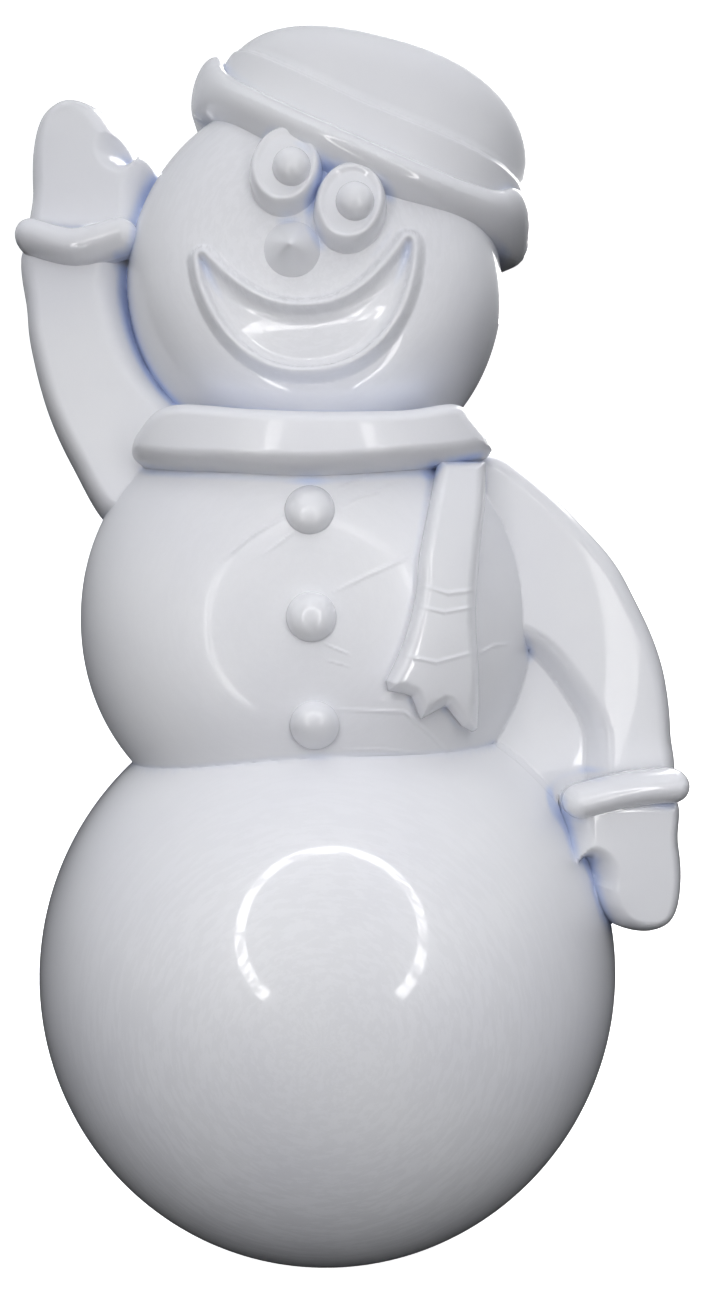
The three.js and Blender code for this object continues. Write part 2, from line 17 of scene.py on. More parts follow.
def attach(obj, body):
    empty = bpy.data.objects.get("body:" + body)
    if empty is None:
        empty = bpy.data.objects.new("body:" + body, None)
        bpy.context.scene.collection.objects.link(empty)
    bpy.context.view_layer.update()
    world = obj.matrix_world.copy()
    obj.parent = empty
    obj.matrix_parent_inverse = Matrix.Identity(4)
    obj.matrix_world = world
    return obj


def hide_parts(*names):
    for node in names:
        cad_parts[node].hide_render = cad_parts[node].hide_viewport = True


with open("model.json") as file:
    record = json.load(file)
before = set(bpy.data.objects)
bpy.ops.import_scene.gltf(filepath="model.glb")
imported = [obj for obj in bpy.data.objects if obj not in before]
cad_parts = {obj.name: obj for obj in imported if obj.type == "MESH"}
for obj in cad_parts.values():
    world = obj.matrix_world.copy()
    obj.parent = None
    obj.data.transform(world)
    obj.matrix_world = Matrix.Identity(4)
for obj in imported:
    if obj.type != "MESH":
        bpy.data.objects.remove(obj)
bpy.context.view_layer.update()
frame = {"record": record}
mounts = {mount["name"]: mount for mount in frame["record"]["mounts"]}

MM = 0.001
PANEL = 3.0            # back panel thickness
PANEL_MARK = 300.0     # the panel_back mount is this far up the panel
BASE = 0.3             # the shells' back edge, just clear of the panel
LIP = 1.2              # the trimmed edge left standing round each shell
FILLET = 2.2           # how softly two neighbouring shells run into each other
LEDGE = 0.15           # a height is given this far beyond its outline, to take slopes from
NOWHERE = -1e3         # the height where a shell isn't


# ---------------------------------------------------------------- shapes of the relief

class Dome:
    """A cap over a rounded outline: a and b are its half sizes, p flattens its top."""

    STEEP = 32             # rings alone cover the last stretch of the side, in degrees

    def __init__(self, x, z, a, b, height, p=2.0, m=2.0, turn=0.0, low=None):
        self.x, self.z, self.a, self.b, self.top = x, z, a, b, height
        self.p, self.m, self.low = p, m, low or b
        self.cos, self.sin = math.cos(math.radians(turn)), math.sin(math.radians(turn))

    def local(self, x, z):
        across, up = x - self.x, z - self.z
        return across * self.cos - up * self.sin, across * self.sin + up * self.cos

    def radius(self, x, z):
        """0 at the centre and 1 on the outline."""
        u, v = self.local(x, z)
        half = np.where(v < 0, self.low, self.b)
        return (np.abs(u / self.a) ** self.m + np.abs(v / half) ** self.m) ** (1 / self.m)

    def height(self, x, z):
        r = self.radius(x, z)
        edge = 1 + LEDGE / self.a
        return np.where(r < edge, self.top * np.sqrt(np.clip(1 - r ** self.p, 0, 1)), NOWHERE)

    def ring(self, r, count):
        """Points round the dome at r times its outline."""
        angle = np.linspace(0, 2 * math.pi, count, endpoint=False)
        c, s = np.cos(angle), np.sin(angle)
        scale = r / (np.abs(c) ** self.m + np.abs(s) ** self.m) ** (1 / self.m)
        u, v = self.a * c * scale, np.where(s < 0, self.low, self.b) * s * scale
        return np.c_[self.x + u * self.cos + v * self.sin, self.z - u * self.sin + v * self.cos]

    def count(self, spacing):
        """How many points round the outline lie this far apart."""
        return int(2 * math.pi * max(self.a, self.b, self.low) / spacing)

    def outline(self, spacing):
        return self.ring(1.0, self.count(spacing))

    def rings(self, spacing):
        """The outer rings, closer together where the side turns down to the panel."""
        tilts = np.radians(90 - self.STEEP * np.linspace(0.22, 1, 17) ** 1.6)
        return [self.ring(math.sin(tilt) ** (2 / self.p), self.count(spacing)) for tilt in tilts]

    def inner(self, x, z):
        return self.radius(x, z) < math.cos(math.radians(self.STEEP)) ** (2 / self.p) - 0.004

    def inset(self, x, z):
        """Roughly how far inside the outline a place is."""
        return (1 - self.radius(x, z)) * min(self.a, self.b)


def within(x, z, starts, ends):
    """Whether places are inside the closed loops that some edges make."""
    inside = np.zeros(np.shape(x), bool)
    for (ax, az), (bx, bz) in zip(starts, ends):
        if az != bz:
            inside ^= ((az > z) != (bz > z)) & (x < (z - az) * (bx - ax) / (bz - az) + ax)
    return inside


def distance(x, z, outline):
    """Distance to a closed outline, positive inside it."""
    best = np.full(np.shape(x), 1e9)
    ends = np.roll(outline, -1, axis=0)
    for (ax, az), (bx, bz) in zip(outline, ends):
        ex, ez = bx - ax, bz - az
        t = np.clip(((x - ax) * ex + (z - az) * ez) / (ex * ex + ez * ez + 1e-12), 0, 1)
        best = np.minimum(best, (x - ax - t * ex) ** 2 + (z - az - t * ez) ** 2)
    return np.where(within(x, z, outline, ends), 1, -1) * np.sqrt(best)


def boxed(x, z, points, margin):
    """Which places are in the box round some points."""
    low, high = np.min(points, axis=0) - margin, np.max(points, axis=0) + margin
    return (x > low[0]) & (x < high[0]) & (z > low[1]) & (z < high[1])


def smooth(points, closed=True):
    """A Catmull-Rom curve through a few points."""
    points = np.asarray(points, float)
    before, after = (points[-1:], points[:2]) if closed else (points[:1], points[-1:])
    padded = np.vstack([before, points, after])
    made = []
    for a, b, c, d in zip(padded, padded[1:], padded[2:], padded[3:]):
        for t in np.linspace(0, 1, 7, endpoint=False):
            made.append(0.5 * (2 * b + (c - a) * t + (2 * a - 5 * b + 4 * c - d) * t * t
                               + (3 * b - a - 3 * c + d) * t ** 3))
    return np.array(made if closed else made + [points[-1]])


def bar(points, radii):
    """The outline of a bar with round ends, along a line of points."""
    points = np.asarray(points, float)
    along = np.gradient(points, axis=0)
    along /= np.linalg.norm(along, axis=1)[:, None]
    side = np.c_[-along[:, 1], along[:, 0]]
    radii = np.broadcast_to(np.asarray(radii, float), len(points))[:, None]
    left, right = points + side * radii, points - side * radii

    def cap(centre, start, radius):
        first = math.atan2(*(start - centre)[::-1])
        turn = first - np.linspace(0, math.pi, 15)[1:-1]
        return centre + radius * np.c_[np.cos(turn), np.sin(turn)]

    far = cap(points[-1], left[-1], radii[-1])
    near = cap(points[0], right[0], radii[0])
    return np.concatenate([left, far, right[::-1], near])


class Pad:
    """A raised area inside an outline, whose edge rounds over across its width edge.

    top is the height of its face and wall is how much of that is an upright side. Each is a
    number or a function of place."""

    def __init__(self, outline, top, edge, wall=0.0):
        self.points, self.top, self.edge, self.wall = np.asarray(outline), top, edge, wall

    def height(self, x, z):
        made = np.full(np.shape(x), NOWHERE)
        near = boxed(x, z, self.points, 1)
        if near.any():
            x, z = x[near], z[near]
            top, wall = (given(x, z) if callable(given) else given for given in (self.top, self.wall))
            d = distance(x, z, self.points)
            t = np.clip(d / self.edge, 0, 1)
            made[near] = np.where(d >= -LEDGE, wall + (top - wall) * np.sqrt(1 - (1 - t) ** 2), NOWHERE)
        return made

    def outline(self, spacing):
        """The outline again, at an even spacing."""
        closed = np.vstack([self.points, self.points[:1]])
        run = np.r_[0, np.cumsum(np.linalg.norm(np.diff(closed, axis=0), axis=1))]
        at = np.linspace(0, run[-1], int(run[-1] / spacing), endpoint=False)
        return np.c_[np.interp(at, run, closed[:, 0]), np.interp(at, run, closed[:, 1])]

    def rings(self, spacing):
        """Rings set in from the outline, where they keep their distance."""
        edge = self.outline(spacing)
        along = np.roll(edge, -1, axis=0) - np.roll(edge, 1, axis=0)
        along /= np.linalg.norm(along, axis=1)[:, None]
        inward = np.c_[-along[:, 1], along[:, 0]]
        if distance(*(edge[:1] + 0.5 * inward[:1]).T, self.points)[0] < 0:
            inward = -inward
        made = []
        for step in self.edge * np.array((0.008, 0.03, 0.06, 0.10, 0.15, 0.21, 0.28)):
            ring = edge + inward * step
            made.append(ring[distance(*ring.T, self.points) > 0.93 * step])
        return made

    def inner(self, x, z):
        return distance(x, z, self.points) > 0.33 * self.edge

    def inset(self, x, z):
        return distance(x, z, self.points)


def blend(a, b, width):
    """The greater of two heights, rounded where they cross."""
    near = np.clip(1 - np.abs(a - b) / width, 0, 1)
    return np.maximum(a, b) + near * near * width / 4


# ---------------------------------------------------------------- the snowman's features

TORSO = Dome(-31, 376, 132.6, 128, 92, p=3.0, m=2.08)
HEAD = Dome(-26.2, 567.5, 110, 109, 80, p=4.4, m=1.95)
BALL = Dome(-18.5, 173.5, 168, 165, 130, p=2.1)
MIDDLE = -20.5         # the hinge, the feet and the hanger are centred on this line

# The web: a flat stretch between the lowered arm and the body, running softly into the ball.
WEB = Pad([(84, 415), (128, 375), (140, 300), (128, 225), (60, 215), (30, 300)], 30, 8, wall=4)


# The hat leans to the right. Its own frame has across along the brim and up to the crown.
HAT = Dome(1, 640, 1, 1, 1, turn=23.8)
CROWN = Dome(6.1, 654, 95, 44, 84, p=2.8, m=2.45, turn=13.5, low=130)
BAND_TALL, BAND_PROUD = 33.0, 2.6
BRIM_HALF, BRIM_RADIUS, BRIM_DROP = 95.0, 13.8, 29.0
BRIM_TOP, BRIM_END, BRIM_ROLL = 96.0, 4.0, 20.0      # its top in front and at its ends, and its roll


def hat_reach(across):
    """How far the hat's foot stands out of the panel, 0 at the sides and 1 in front."""
    return np.sqrt(np.clip(1 - (across / (BRIM_HALF + 2)) ** 2, 0, 1))


def crown_height(x, z):
    """The crown, down to the middle of the brim."""
    across, up = HAT.local(x, z)
    return np.where(up > -BRIM_DROP * hat_reach(across), CROWN.height(x, z), NOWHERE)


def band_height(x, z):
    """The raised band: the crown's lower part, proud by a little, with a soft upper edge."""
    across, up = HAT.local(x, z)
    edge = BAND_TALL * (1 - hat_reach(across))
    fade = np.clip((edge - up) / 3.5, 0, 1)
    soft = fade * fade * (3 - 2 * fade)
    return crown_height(x, z) + BAND_PROUD * soft - 0.6 * np.clip(up - edge, 0, 30)


def brim_outline():
    across = np.linspace(-BRIM_HALF, BRIM_HALF, 41)
    up = -BRIM_DROP * (1.2 * hat_reach(across) - 0.2)
    x, z = HAT.x + across * HAT.cos + up * HAT.sin, HAT.z - across * HAT.sin + up * HAT.cos
    return bar(np.c_[x, z], BRIM_RADIUS - 2.6 * hat_reach(across))


def brim_top(x, z):
    """The brim is a ring round the crown's foot, so its top falls back to the panel at the ends."""
    across = np.clip(np.abs(HAT.local(x, z)[0]) / (BRIM_HALF + BRIM_RADIUS), 0, 1)
    return BRIM_END + (BRIM_TOP - BRIM_END) * np.sqrt(1 - across ** 2)


def brim_wall(x, z):
    return np.maximum(brim_top(x, z) - BRIM_ROLL, 3)


BRIM = Pad(brim_outline(), brim_top, BRIM_RADIUS - 1, wall=brim_wall)

# ---- the mouth, moulded into the head ----
MOUTH_X, MOUTH_Z, MOUTH_HALF, MOUTH_TURN = -28.2, 563.3, 53.5, 4.3
LIP_WIDTH, LIP_RISE, MOUTH_DEPTH = 9.0, 4.8, 2.2
UPPER_SAG, LOWER_SAG = 32, 58


def lip_line(sag, power):
    """A lip from corner to corner, hanging down by its sag in the middle."""
    t = -np.cos(np.linspace(0, math.pi, 40))
    drop = sag * (1 - np.abs(t) ** 2.2) ** power
    turn = math.radians(MOUTH_TURN)
    x = MOUTH_X + MOUTH_HALF * t * math.cos(turn) + drop * math.sin(turn)
    return np.c_[x, MOUTH_Z + MOUTH_HALF * t * math.sin(turn) - drop * math.cos(turn)]


MOUTH = np.vstack([lip_line(UPPER_SAG, 1.0), lip_line(LOWER_SAG, 0.55)[-2:0:-1]])


def mouth_relief(x, z):
    """A bead round the mouth, soft outside and crisp inside, and the hollow within it."""
    d = distance(x, z, MOUTH)
    outside = np.clip(-d / LIP_WIDTH, 0, 1)
    bead = LIP_RISE * np.sin(math.pi * outside ** 0.7) ** 1.5
    inside = np.clip(d / 5.0, 0, 1)
    return np.where(d < 0, bead, -MOUTH_DEPTH * inside * (2 - inside))


def head_height(x, z):
    made = HEAD.height(x, z)
    near = boxed(x, z, MOUTH, LIP_WIDTH)
    made[near] += mouth_relief(x[near], z[near])
    return made


# ---- folds that forming left in the sheet ----
# Each is a line of points, how far it stands out and how wide it is.
TORSO_FOLDS = [
    ([(-13, 428), (2, 436), (19, 443.5)], 0.55, 1.3),
    ([(-12, 439.5), (6, 448)], 0.4, 1.1),
    ([(-36, 427), (-55, 415.5), (-70, 402.5)], 0.5, 1.3),
    ([(-31, 419), (-49, 405.5)], 0.35, 1.1),
    ([(-13, 387), (3, 395), (29, 407)], 0.55, 1.4),
    ([(-18, 361), (-5, 355.5)], 0.35, 1.0),
    ([(-17, 352.5), (-5, 349.5)], 0.3, 0.9),
    ([(-12, 327.5), (4, 327), (23, 326), (38, 312.5), (49, 300.5)], 0.5, 1.3),
    ([(-9, 307), (12, 306.5), (35, 303.5)], 0.35, 1.1),
    ([(62, 355.5), (70, 360), (81, 361.5)], 0.5, 1.3),
]
TAIL_FOLDS = [
    ([(30, 390), (44, 386), (61, 388.5)], 0.6, 1.5),
    ([(27, 380), (42, 376.5), (60, 380)], 0.5, 1.4),
    ([(22, 355), (38, 351.5), (59, 357)], 0.5, 1.5),
]


def folds(lines, x, z):
    """How far the folds stand out at a place, each fading out towards its ends."""
    made = np.zeros(np.shape(x))
    for points, rise, width in lines:
        points = np.asarray(points, float)
        spans = np.linalg.norm(np.diff(points, axis=0), axis=1)
        near = boxed(x, z, points, 4 * width)
        best, along = np.full(near.sum(), 1e9), np.zeros(near.sum())
        for n, span in enumerate(spans):
            step = (points[n + 1] - points[n]) / span
            across, up = x[near] - points[n][0], z[near] - points[n][1]
            t = np.clip(across * step[0] + up * step[1], 0, span)
            away = (across - t * step[0]) ** 2 + (up - t * step[1]) ** 2
            along = np.where(away < best, spans[:n].sum() + t, along)
            best = np.minimum(best, away)
        taper = np.sin(math.pi * np.clip(along / spans.sum(), 0.02, 0.98)) ** 0.6
        made[near] += rise * taper * np.exp(-best / (0.5 * width * width))
    return made


def torso_height(x, z):
    return TORSO.height(x, z) + folds(TORSO_FOLDS, x, z)


# ---- caps on the face and the torso ----
CAP_FOOT = 1.04        # a cap's plan is this much wider than its dome, for the soft foot round it


class Cap:
    """A small part that follows the surface under it, with a profile of its own."""

    def __init__(self, x, z, a, b, rise, profile, under, turn=0.0, tip=0.0):
        self.plan = Dome(x, z, a, b, 1.0, turn=turn)
        self.rise, self.profile, self.under, self.tip = rise, profile, under, tip
        self.outline = self.plan.outline

    def from_tip(self, x, z):
        """0 at the tip, which may be off centre by part of b, and 1 on the outline."""
        u, v = self.plan.local(x, z)
        u, v = u / self.plan.a, v / self.plan.b - self.tip
        away = np.hypot(u, v) + 1e-9
        along = self.tip * v / away
        return away / (np.sqrt(along ** 2 + 1 - self.tip ** 2) - along)

    def height(self, x, z):
        """The profile out to the dome's outline, and a soft foot that just sinks in beyond it."""
        r = self.plan.radius(x, z)
        stands = self.rise * self.profile(np.minimum(self.from_tip(x, z) * CAP_FOOT, 1))
        stands -= 40 * np.clip(r * CAP_FOOT - 1, 0, 1)
        made = self.under(x, z) + blend(stands, 0.0, 1.4) - 0.25 * r ** 8
        return np.where(r < 1 + LEDGE / self.plan.a, made, NOWHERE)

    def rings(self, spacing):
        count = int(2 * math.pi * self.plan.a / spacing)
        return [self.plan.ring(r, count) for r in (0.985, 0.97, 0.96, 0.95, 0.935, 0.915, 0.885)]

    def inner(self, x, z):
        return self.plan.radius(x, z) < 0.87


def round_profile(r):
    return np.sqrt(1 - r * r)


def eye_profile(r):
    """A rounded rim close to the edge and a slightly dished middle."""
    outer = np.sqrt(np.clip(1 - np.clip((r - 0.80) / 0.20, 0, 1) ** 2, 0, 1))
    dish = np.clip((0.80 - r) / 0.16, 0, 1)
    return outer - 0.10 * dish * dish * (3 - 2 * dish)


def cone_profile(r):
    """A cone with a slightly hollow side and a small round tip."""
    return 1 - np.sqrt(r * r + 0.02) * 0.96 - 0.02 * np.sin(math.pi * r)


EYE_RISE = 12.0
RIGHT_EYE = Cap(-38, 603.5, 19.4, 23.4, EYE_RISE, eye_profile, HEAD.height, turn=14)
LEFT_EYE = Cap(-5, 584.5, 19.4, 23.4, EYE_RISE, eye_profile, HEAD.height, turn=14)


def eye_floor(x, z):
    """What the pupils stand on: the eyes' dish, a little below their rims."""
    return HEAD.height(x, z) + 0.86 * EYE_RISE


RIGHT_PUPIL = Cap(-34.5, 601.5, 10.2, 10.2, 8.5, round_profile, eye_floor)
LEFT_PUPIL = Cap(-2.5, 584, 10.2, 10.2, 8.5, round_profile, eye_floor)
NOSE = Cap(-35, 564.5, 14.8, 14.8, 18, cone_profile, HEAD.height, tip=-0.25)
BUTTONS = {
    name: Cap(x, z, 13.2, 13.2, 9.5, round_profile, TORSO.height)
    for name, x, z in (("button_top", -25.5, 429), ("button_middle", -24.5, 374.5),
                       ("button_bottom", -23, 319.5))
}

# ---- the scarf ----
COLLAR_X, COLLAR_HALF, COLLAR_TOP, COLLAR_END = -25.5, 108.0, 102.0, 36.0


def collar_top(x, z):
    """The collar stands furthest out in front of the neck and falls back to its ends."""
    rise = np.sqrt(np.clip(1 - ((x - COLLAR_X) / COLLAR_HALF) ** 2, 0, 1))
    return COLLAR_END + (COLLAR_TOP - COLLAR_END) * rise


COLLAR = Pad(smooth([(-124, 466), (-119, 475), (-100, 486), (-57, 481), (-20, 479), (21, 481),
                     (50, 487), (60, 480), (69, 470), (69.5, 464), (43, 455), (-20, 447),
                     (-85, 451), (-112, 456), (-121, 460)]),
             collar_top, 9, wall=lambda x, z: 0.80 * collar_top(x, z))

TAIL_LEFT = smooth([(41, 458), (35, 430), (30, 405), (28, 385), (22, 362), (13, 342)], False)
TAIL_RIGHT = smooth([(62, 316), (62, 345), (60, 375), (62, 405), (66, 435), (67, 458)], False)
TAIL_END = [(14, 337), (22, 335.5), (26, 334), (31, 322), (44, 329), (53, 318), (59, 314.5)]
TAIL_THICK, TAIL_LEVEL = 12.0, 62.0


def tail_bed(x, z):
    """The torso's surface, levelled off where it would fall away under the collar."""
    return blend(TORSO.height(x, z), TAIL_LEVEL, 24)


def tail_top(x, z):
    return tail_bed(x, z) + TAIL_THICK + folds(TAIL_FOLDS, x, z)


def tail_wall(x, z):
    return tail_bed(x, z) + 1


TAIL = Pad(np.vstack([TAIL_LEFT, TAIL_END, TAIL_RIGHT]), tail_top, 7, wall=tail_wall)

# ---- arms, cuffs and mittens ----
RIGHT_ARM = Pad(smooth([(-192, 590), (-193, 549), (-189.5, 523), (-180.5, 491), (-167, 462),
                        (-148, 431), (-125, 429), (-80, 475), (-111, 509), (-125, 531),
                        (-132, 557), (-134, 590)]), 44, 16, wall=3)
LEFT_ARM = Pad(smooth([(55, 462), (76, 474), (102, 457), (126, 434), (146.5, 411), (159.5, 388),
                       (170.5, 364), (177, 341), (180, 312), (178, 282), (130, 278),
                       (124, 312), (113, 332), (97, 352), (69, 376)]), 46, 16, wall=3)
RIGHT_CUFF = Pad(bar(smooth([(-180.5, 586), (-157, 580.5), (-132, 586.5)], False), 9.8),
                 56, 9.8, wall=44)
LEFT_CUFF = Pad(bar(smooth([(118.5, 276.5), (134, 280.5), (150, 283.5), (167.5, 285)], False), 9.3),
                70, 9.3, wall=58)
RIGHT_MITTEN = Pad(smooth([(-187, 586), (-190, 618), (-189.5, 644), (-184, 662), (-172, 672.5),
                           (-159, 674), (-146, 668), (-136.5, 657), (-132, 648), (-134, 638),
                           (-130, 640), (-124, 643.5), (-117, 638), (-114.5, 629), (-119, 617),
                           (-127, 586)]), 42, 15, wall=3)
LEFT_MITTEN = Pad(smooth([(117, 282), (112, 256), (110.5, 242), (114.5, 232), (121, 228),
                          (126, 232), (125, 239.5), (125.5, 228), (128.5, 216), (136.5, 205.5),
                          (147, 200), (159.5, 199), (171.5, 204), (178.5, 215), (181, 233),
                          (179.5, 253), (174, 282)]), 62, 14, wall=4)

# Every shell by its CAD node: the plan it fills, what it stands on and the spacing of its points.
# The shells of rank 0 run into each other, and the rest sit on those of lower ranks.
SHELLS = {
    "ball_shell": (BALL, 0, 1.7),
    "torso_shell": (TORSO, 0, 1.1),
    "head_shell": (HEAD, 0, 0.9),
    "hat_crown": (CROWN, 0, 1.2),
    "hat_band": (CROWN, 0, 1.2),
    "hat_brim": (BRIM, 1, 1.1),
    "scarf_collar": (COLLAR, 2, 1.0),
    "scarf_tail": (TAIL, 1, 0.8),
    "right_arm": (RIGHT_ARM, 0, 1.2),
    "right_cuff": (RIGHT_CUFF, 1, 0.9),
    "right_mitten": (RIGHT_MITTEN, 0, 1.2),
    "left_arm": (LEFT_ARM, 0, 1.2),
    "left_cuff": (LEFT_CUFF, 1, 0.9),
    "left_mitten": (LEFT_MITTEN, 0, 1.2),
    "arm_web": (WEB, 0, 1.2),
    "right_eye": (RIGHT_EYE, 2, 0.7),
    "left_eye": (LEFT_EYE, 2, 0.7),
    "right_pupil": (RIGHT_PUPIL, 3, 0.5),
    "left_pupil": (LEFT_PUPIL, 3, 0.5),
    "nose_cone": (NOSE, 1, 0.6),
    **{name: (cap, 1, 0.6) for name, cap in BUTTONS.items()},
}

# The shells whose surface isn't just their plan's.
RELIEFS = {"torso_shell": torso_height, "head_shell": head_height, "hat_crown": crown_height,
           "hat_band": band_height}

# How softly two shells of rank 0 run into each other, where it isn't FILLET.
SOFT = {frozenset(("arm_web", "ball_shell")): 18.0, frozenset(("arm_web", "left_arm")): 8.0,
        frozenset(("arm_web", "torso_shell")): 6.0}
# Lines along which a shell folds sharply.
FOLDS_AT = {"head_shell": MOUTH}


# ---------------------------------------------------------------- meshing

def height(name, x, z):
    return RELIEFS.get(name, SHELLS[name][0].height)(x, z)


def others(name, x, z):
    """The highest of the shells that this one meets, and how softly it runs into it."""
    best, soft = np.full(np.shape(x), NOWHERE), np.full(np.shape(x), FILLET)
    for other, (_, rank, _) in SHELLS.items():
        if other != name and rank <= max(SHELLS[name][1] - 1, 0):
            found = height(other, x, z)
            soft = np.where(found > best, SOFT.get(frozenset((name, other)), FILLET), soft)
            best = np.maximum(best, found)
    return best, soft


def clip(points, faces, level):
    """The part of a flat triangle mesh where level is positive, cut along level 0."""
    kept = level[faces] >= 0
    count = kept.sum(1)
    cuts, parts = [], []
    for keeps in (1, 2):
        rows, keep = faces[count == keeps], kept[count == keeps]
        odd = np.argmax(keep if keeps == 1 else ~keep, axis=1)
        n = np.arange(len(rows))
        a, b, c = rows[n, odd], rows[n, (odd + 1) % 3], rows[n, (odd + 2) % 3]
        cuts += [np.c_[a, b], np.c_[a, c]]
        parts.append((keeps, a, b, c))
    edges, where = np.unique(np.sort(np.vstack(cuts), axis=1), axis=0, return_inverse=True)
    where = where.ravel() + len(points)
    i, j = edges.T
    t = (level[i] / (level[i] - level[j]))[:, None]
    points = np.vstack([points, points[i] * (1 - t) + points[j] * t])
    made, start = [faces[count == 3]], 0
    for keeps, a, b, c in parts:
        p, q = where[start:start + len(a)], where[start + len(a):start + 2 * len(a)]
        start += 2 * len(a)
        made += [np.c_[a, p, q]] if keeps == 1 else [np.c_[p, b, c], np.c_[p, c, q]]
    used, faces = np.unique(np.vstack(made), return_inverse=True)
    return points[used], faces.reshape(-1, 3)


def triangles(points, edges):
    """Triangles between points, only inside the loops that the edges make."""
    made = delaunay_2d_cdt([Vector(p) for p in points], edges, [], 0, 1e-7, True)
    number = np.array([given[0] if given else -1 for given in made[3]])
    faces = number[np.array(made[2], int)]
    faces = faces[(faces >= 0).all(axis=1)]
    if not edges:
        return faces
    starts, ends = points[[a for a, _ in edges]], points[[b for _, b in edges]]
    return faces[within(*points[faces].mean(axis=1).T, starts, ends)]


def plan_mesh(plan, fine, folds_at=None):
    """Flat triangles over a plan: its outline, rings close inside it, and a grid. Where the
    surface has a sharp fold of its own, the points follow that line."""
    edge = plan.outline(1.5 * fine)
    low, high = edge.min(0), edge.max(0)
    x, z = (part.ravel() for part in np.meshgrid(
        np.arange(low[0], high[0], fine), np.arange(low[1], high[1], fine)))
    inside = plan.inner(x, z)
    rings = plan.rings(1.5 * fine)
    if folds_at is not None:
        inside &= np.abs(distance(x, z, folds_at)) > 0.7 * fine
        rings.append(Pad(folds_at, 0, 1).outline(0.6 * fine))
    points = np.vstack([edge, *rings, np.c_[x[inside], z[inside]]])
    return points, triangles(points, [(n, (n + 1) % len(edge)) for n in range(len(edge))])


OVERLAP = 0.35         # how far below its neighbour a shell still runs on
SLOPE_STEP = 0.12      # slopes are taken over this distance
CLIFF = 150.0          # a slope beyond this is a step between two shells, not a surface


def relief(name, x, z):
    """How far a shell stands above those it meets, and its height with soft creases."""
    own = height(name, x, z)
    best, soft = others(name, x, z)
    sunk = 0.3 * np.clip((best - own) / OVERLAP, 0, 1)
    top = own if SHELLS[name][1] else blend(own, best, soft)
    return own - best, np.maximum(top - sunk, LIP)


class Creases:
    """How deep in creases each place of the whole front is, measured on a grid; the shells' plastic paints
    blue shade by it.
    """

    CELL = 1.25            # the grid's spacing

    def __init__(self):
        self.x, self.z = np.arange(-205, 205, self.CELL), np.arange(0, 745, self.CELL)
        x, z = np.meshgrid(self.x, self.z)
        top = np.maximum(np.max([height(name, x, z) for name in SHELLS], axis=0), 0)
        found = np.zeros(top.shape)
        for dx, dz in ((1, 0), (0, 1), (1, 1), (1, -1)):
            deepest = np.zeros(top.shape)
            for reach in (1, 2, 3, 4):
                ahead = np.roll(top, (reach * dz, reach * dx), (0, 1)) - top
                behind = np.roll(top, (-reach * dz, -reach * dx), (0, 1)) - top
                valley = np.minimum(ahead, behind) + 0.02 * np.maximum(ahead, behind)
                deepest = np.maximum(deepest, valley / (reach * self.CELL * math.hypot(dx, dz)))
            found += np.minimum(deepest, 2.0) / 4
        for _ in range(2):
            for axis in (0, 1):
                found = (np.roll(found, 1, axis) + 2 * found + np.roll(found, -1, axis)) / 4
        self.depth = found

    def at(self, x, z):
        u = np.clip((x - self.x[0]) / self.CELL, 0, len(self.x) - 1.01)
        v = np.clip((z - self.z[0]) / self.CELL, 0, len(self.z) - 1.01)
        i, j = u.astype(int), v.astype(int)
        s, t = u - i, v - j
        d = self.depth
        near = d[j, i] * (1 - s) + d[j, i + 1] * s
        far = d[j + 1, i] * (1 - s) + d[j + 1, i + 1] * s
        return np.clip((near * (1 - t) + far * t - 0.10) / 0.55, 0, 1)


# The mask for the blue shade painted into the shells' creases.
CREASE_SHADE_MAP = Creases()


def slope(name, x, z, top, dx, dz):
    """The slope along x or z: from both sides, or from the side that doesn't fall off an edge."""
    ahead = (relief(name, x + dx * SLOPE_STEP, z + dz * SLOPE_STEP)[1] - top) / SLOPE_STEP
    behind = (top - relief(name, x - dx * SLOPE_STEP, z - dz * SLOPE_STEP)[1]) / SLOPE_STEP
    steeper = np.where(np.abs(ahead) > np.abs(behind), ahead, behind)
    gentler = np.where(np.abs(ahead) > np.abs(behind), behind, ahead)
    chosen = np.where(np.abs(steeper) < CLIFF, steeper, gentler)
    return np.where(np.abs(ahead - behind) > 4, chosen, (ahead + behind) / 2)


def shell_surface(name):
    """A shell's visible surface: flat points, heights, triangles, normals and how much shade to paint in
    its creases.
    """
    plan, _, fine = SHELLS[name]
    points, faces = plan_mesh(plan, fine, FOLDS_AT.get(name))
    gap, _ = relief(name, *points.T)
    points, faces = clip(points, faces, np.clip(gap, -20, 20) + OVERLAP)
    x, z = points.T
    _, top = relief(name, x, z)
    across, up = slope(name, x, z, top, 1, 0), slope(name, x, z, top, 0, 1)
    normals = np.c_[-across, np.full(len(x), -1.0), -up]
    steep = np.hypot(across, up) > CLIFF
    normals /= np.linalg.norm(normals, axis=1)[:, None]
    normals[steep] = 0
    return points, top, faces, normals, CREASE_SHADE_MAP.at(x, z)


def figure_matrix():
    """The figure's frame, in millimetres, to the row frame, in metres."""
    back = mounts["panel_back"]
    lean = math.atan2(-back["axis"][2], back["axis"][1])
    turn = Matrix.Rotation(-lean, 4, "X")
    place = Vector(back["pos_m"]) - turn @ Vector((MIDDLE, PANEL, PANEL_MARK)) * MM
    return Matrix.Translation(place) @ turn @ Matrix.Scale(MM, 4)


FIGURE = figure_matrix()


def placed(vertices, matrix):
    """Points taken through a matrix, as rows."""
    full = np.array(matrix)
    return np.asarray(vertices, float) @ full[:3, :3].T + full[:3, 3]


def linked(name, data):
    obj = bpy.data.objects.new(name, data)
    bpy.context.scene.collection.objects.link(obj)
    return obj


def new_object(name, vertices, faces, matrix=FIGURE):
    mesh = bpy.data.meshes.new(name)
    mesh.from_pydata(placed(vertices, matrix).tolist(), [], faces)
    mesh.update()
    return linked(name, mesh)


def shade(obj, angle=38):
    obj.data.polygons.foreach_set("use_smooth", [True] * len(obj.data.polygons))
    obj.data.set_sharp_from_angle(angle=math.radians(angle))


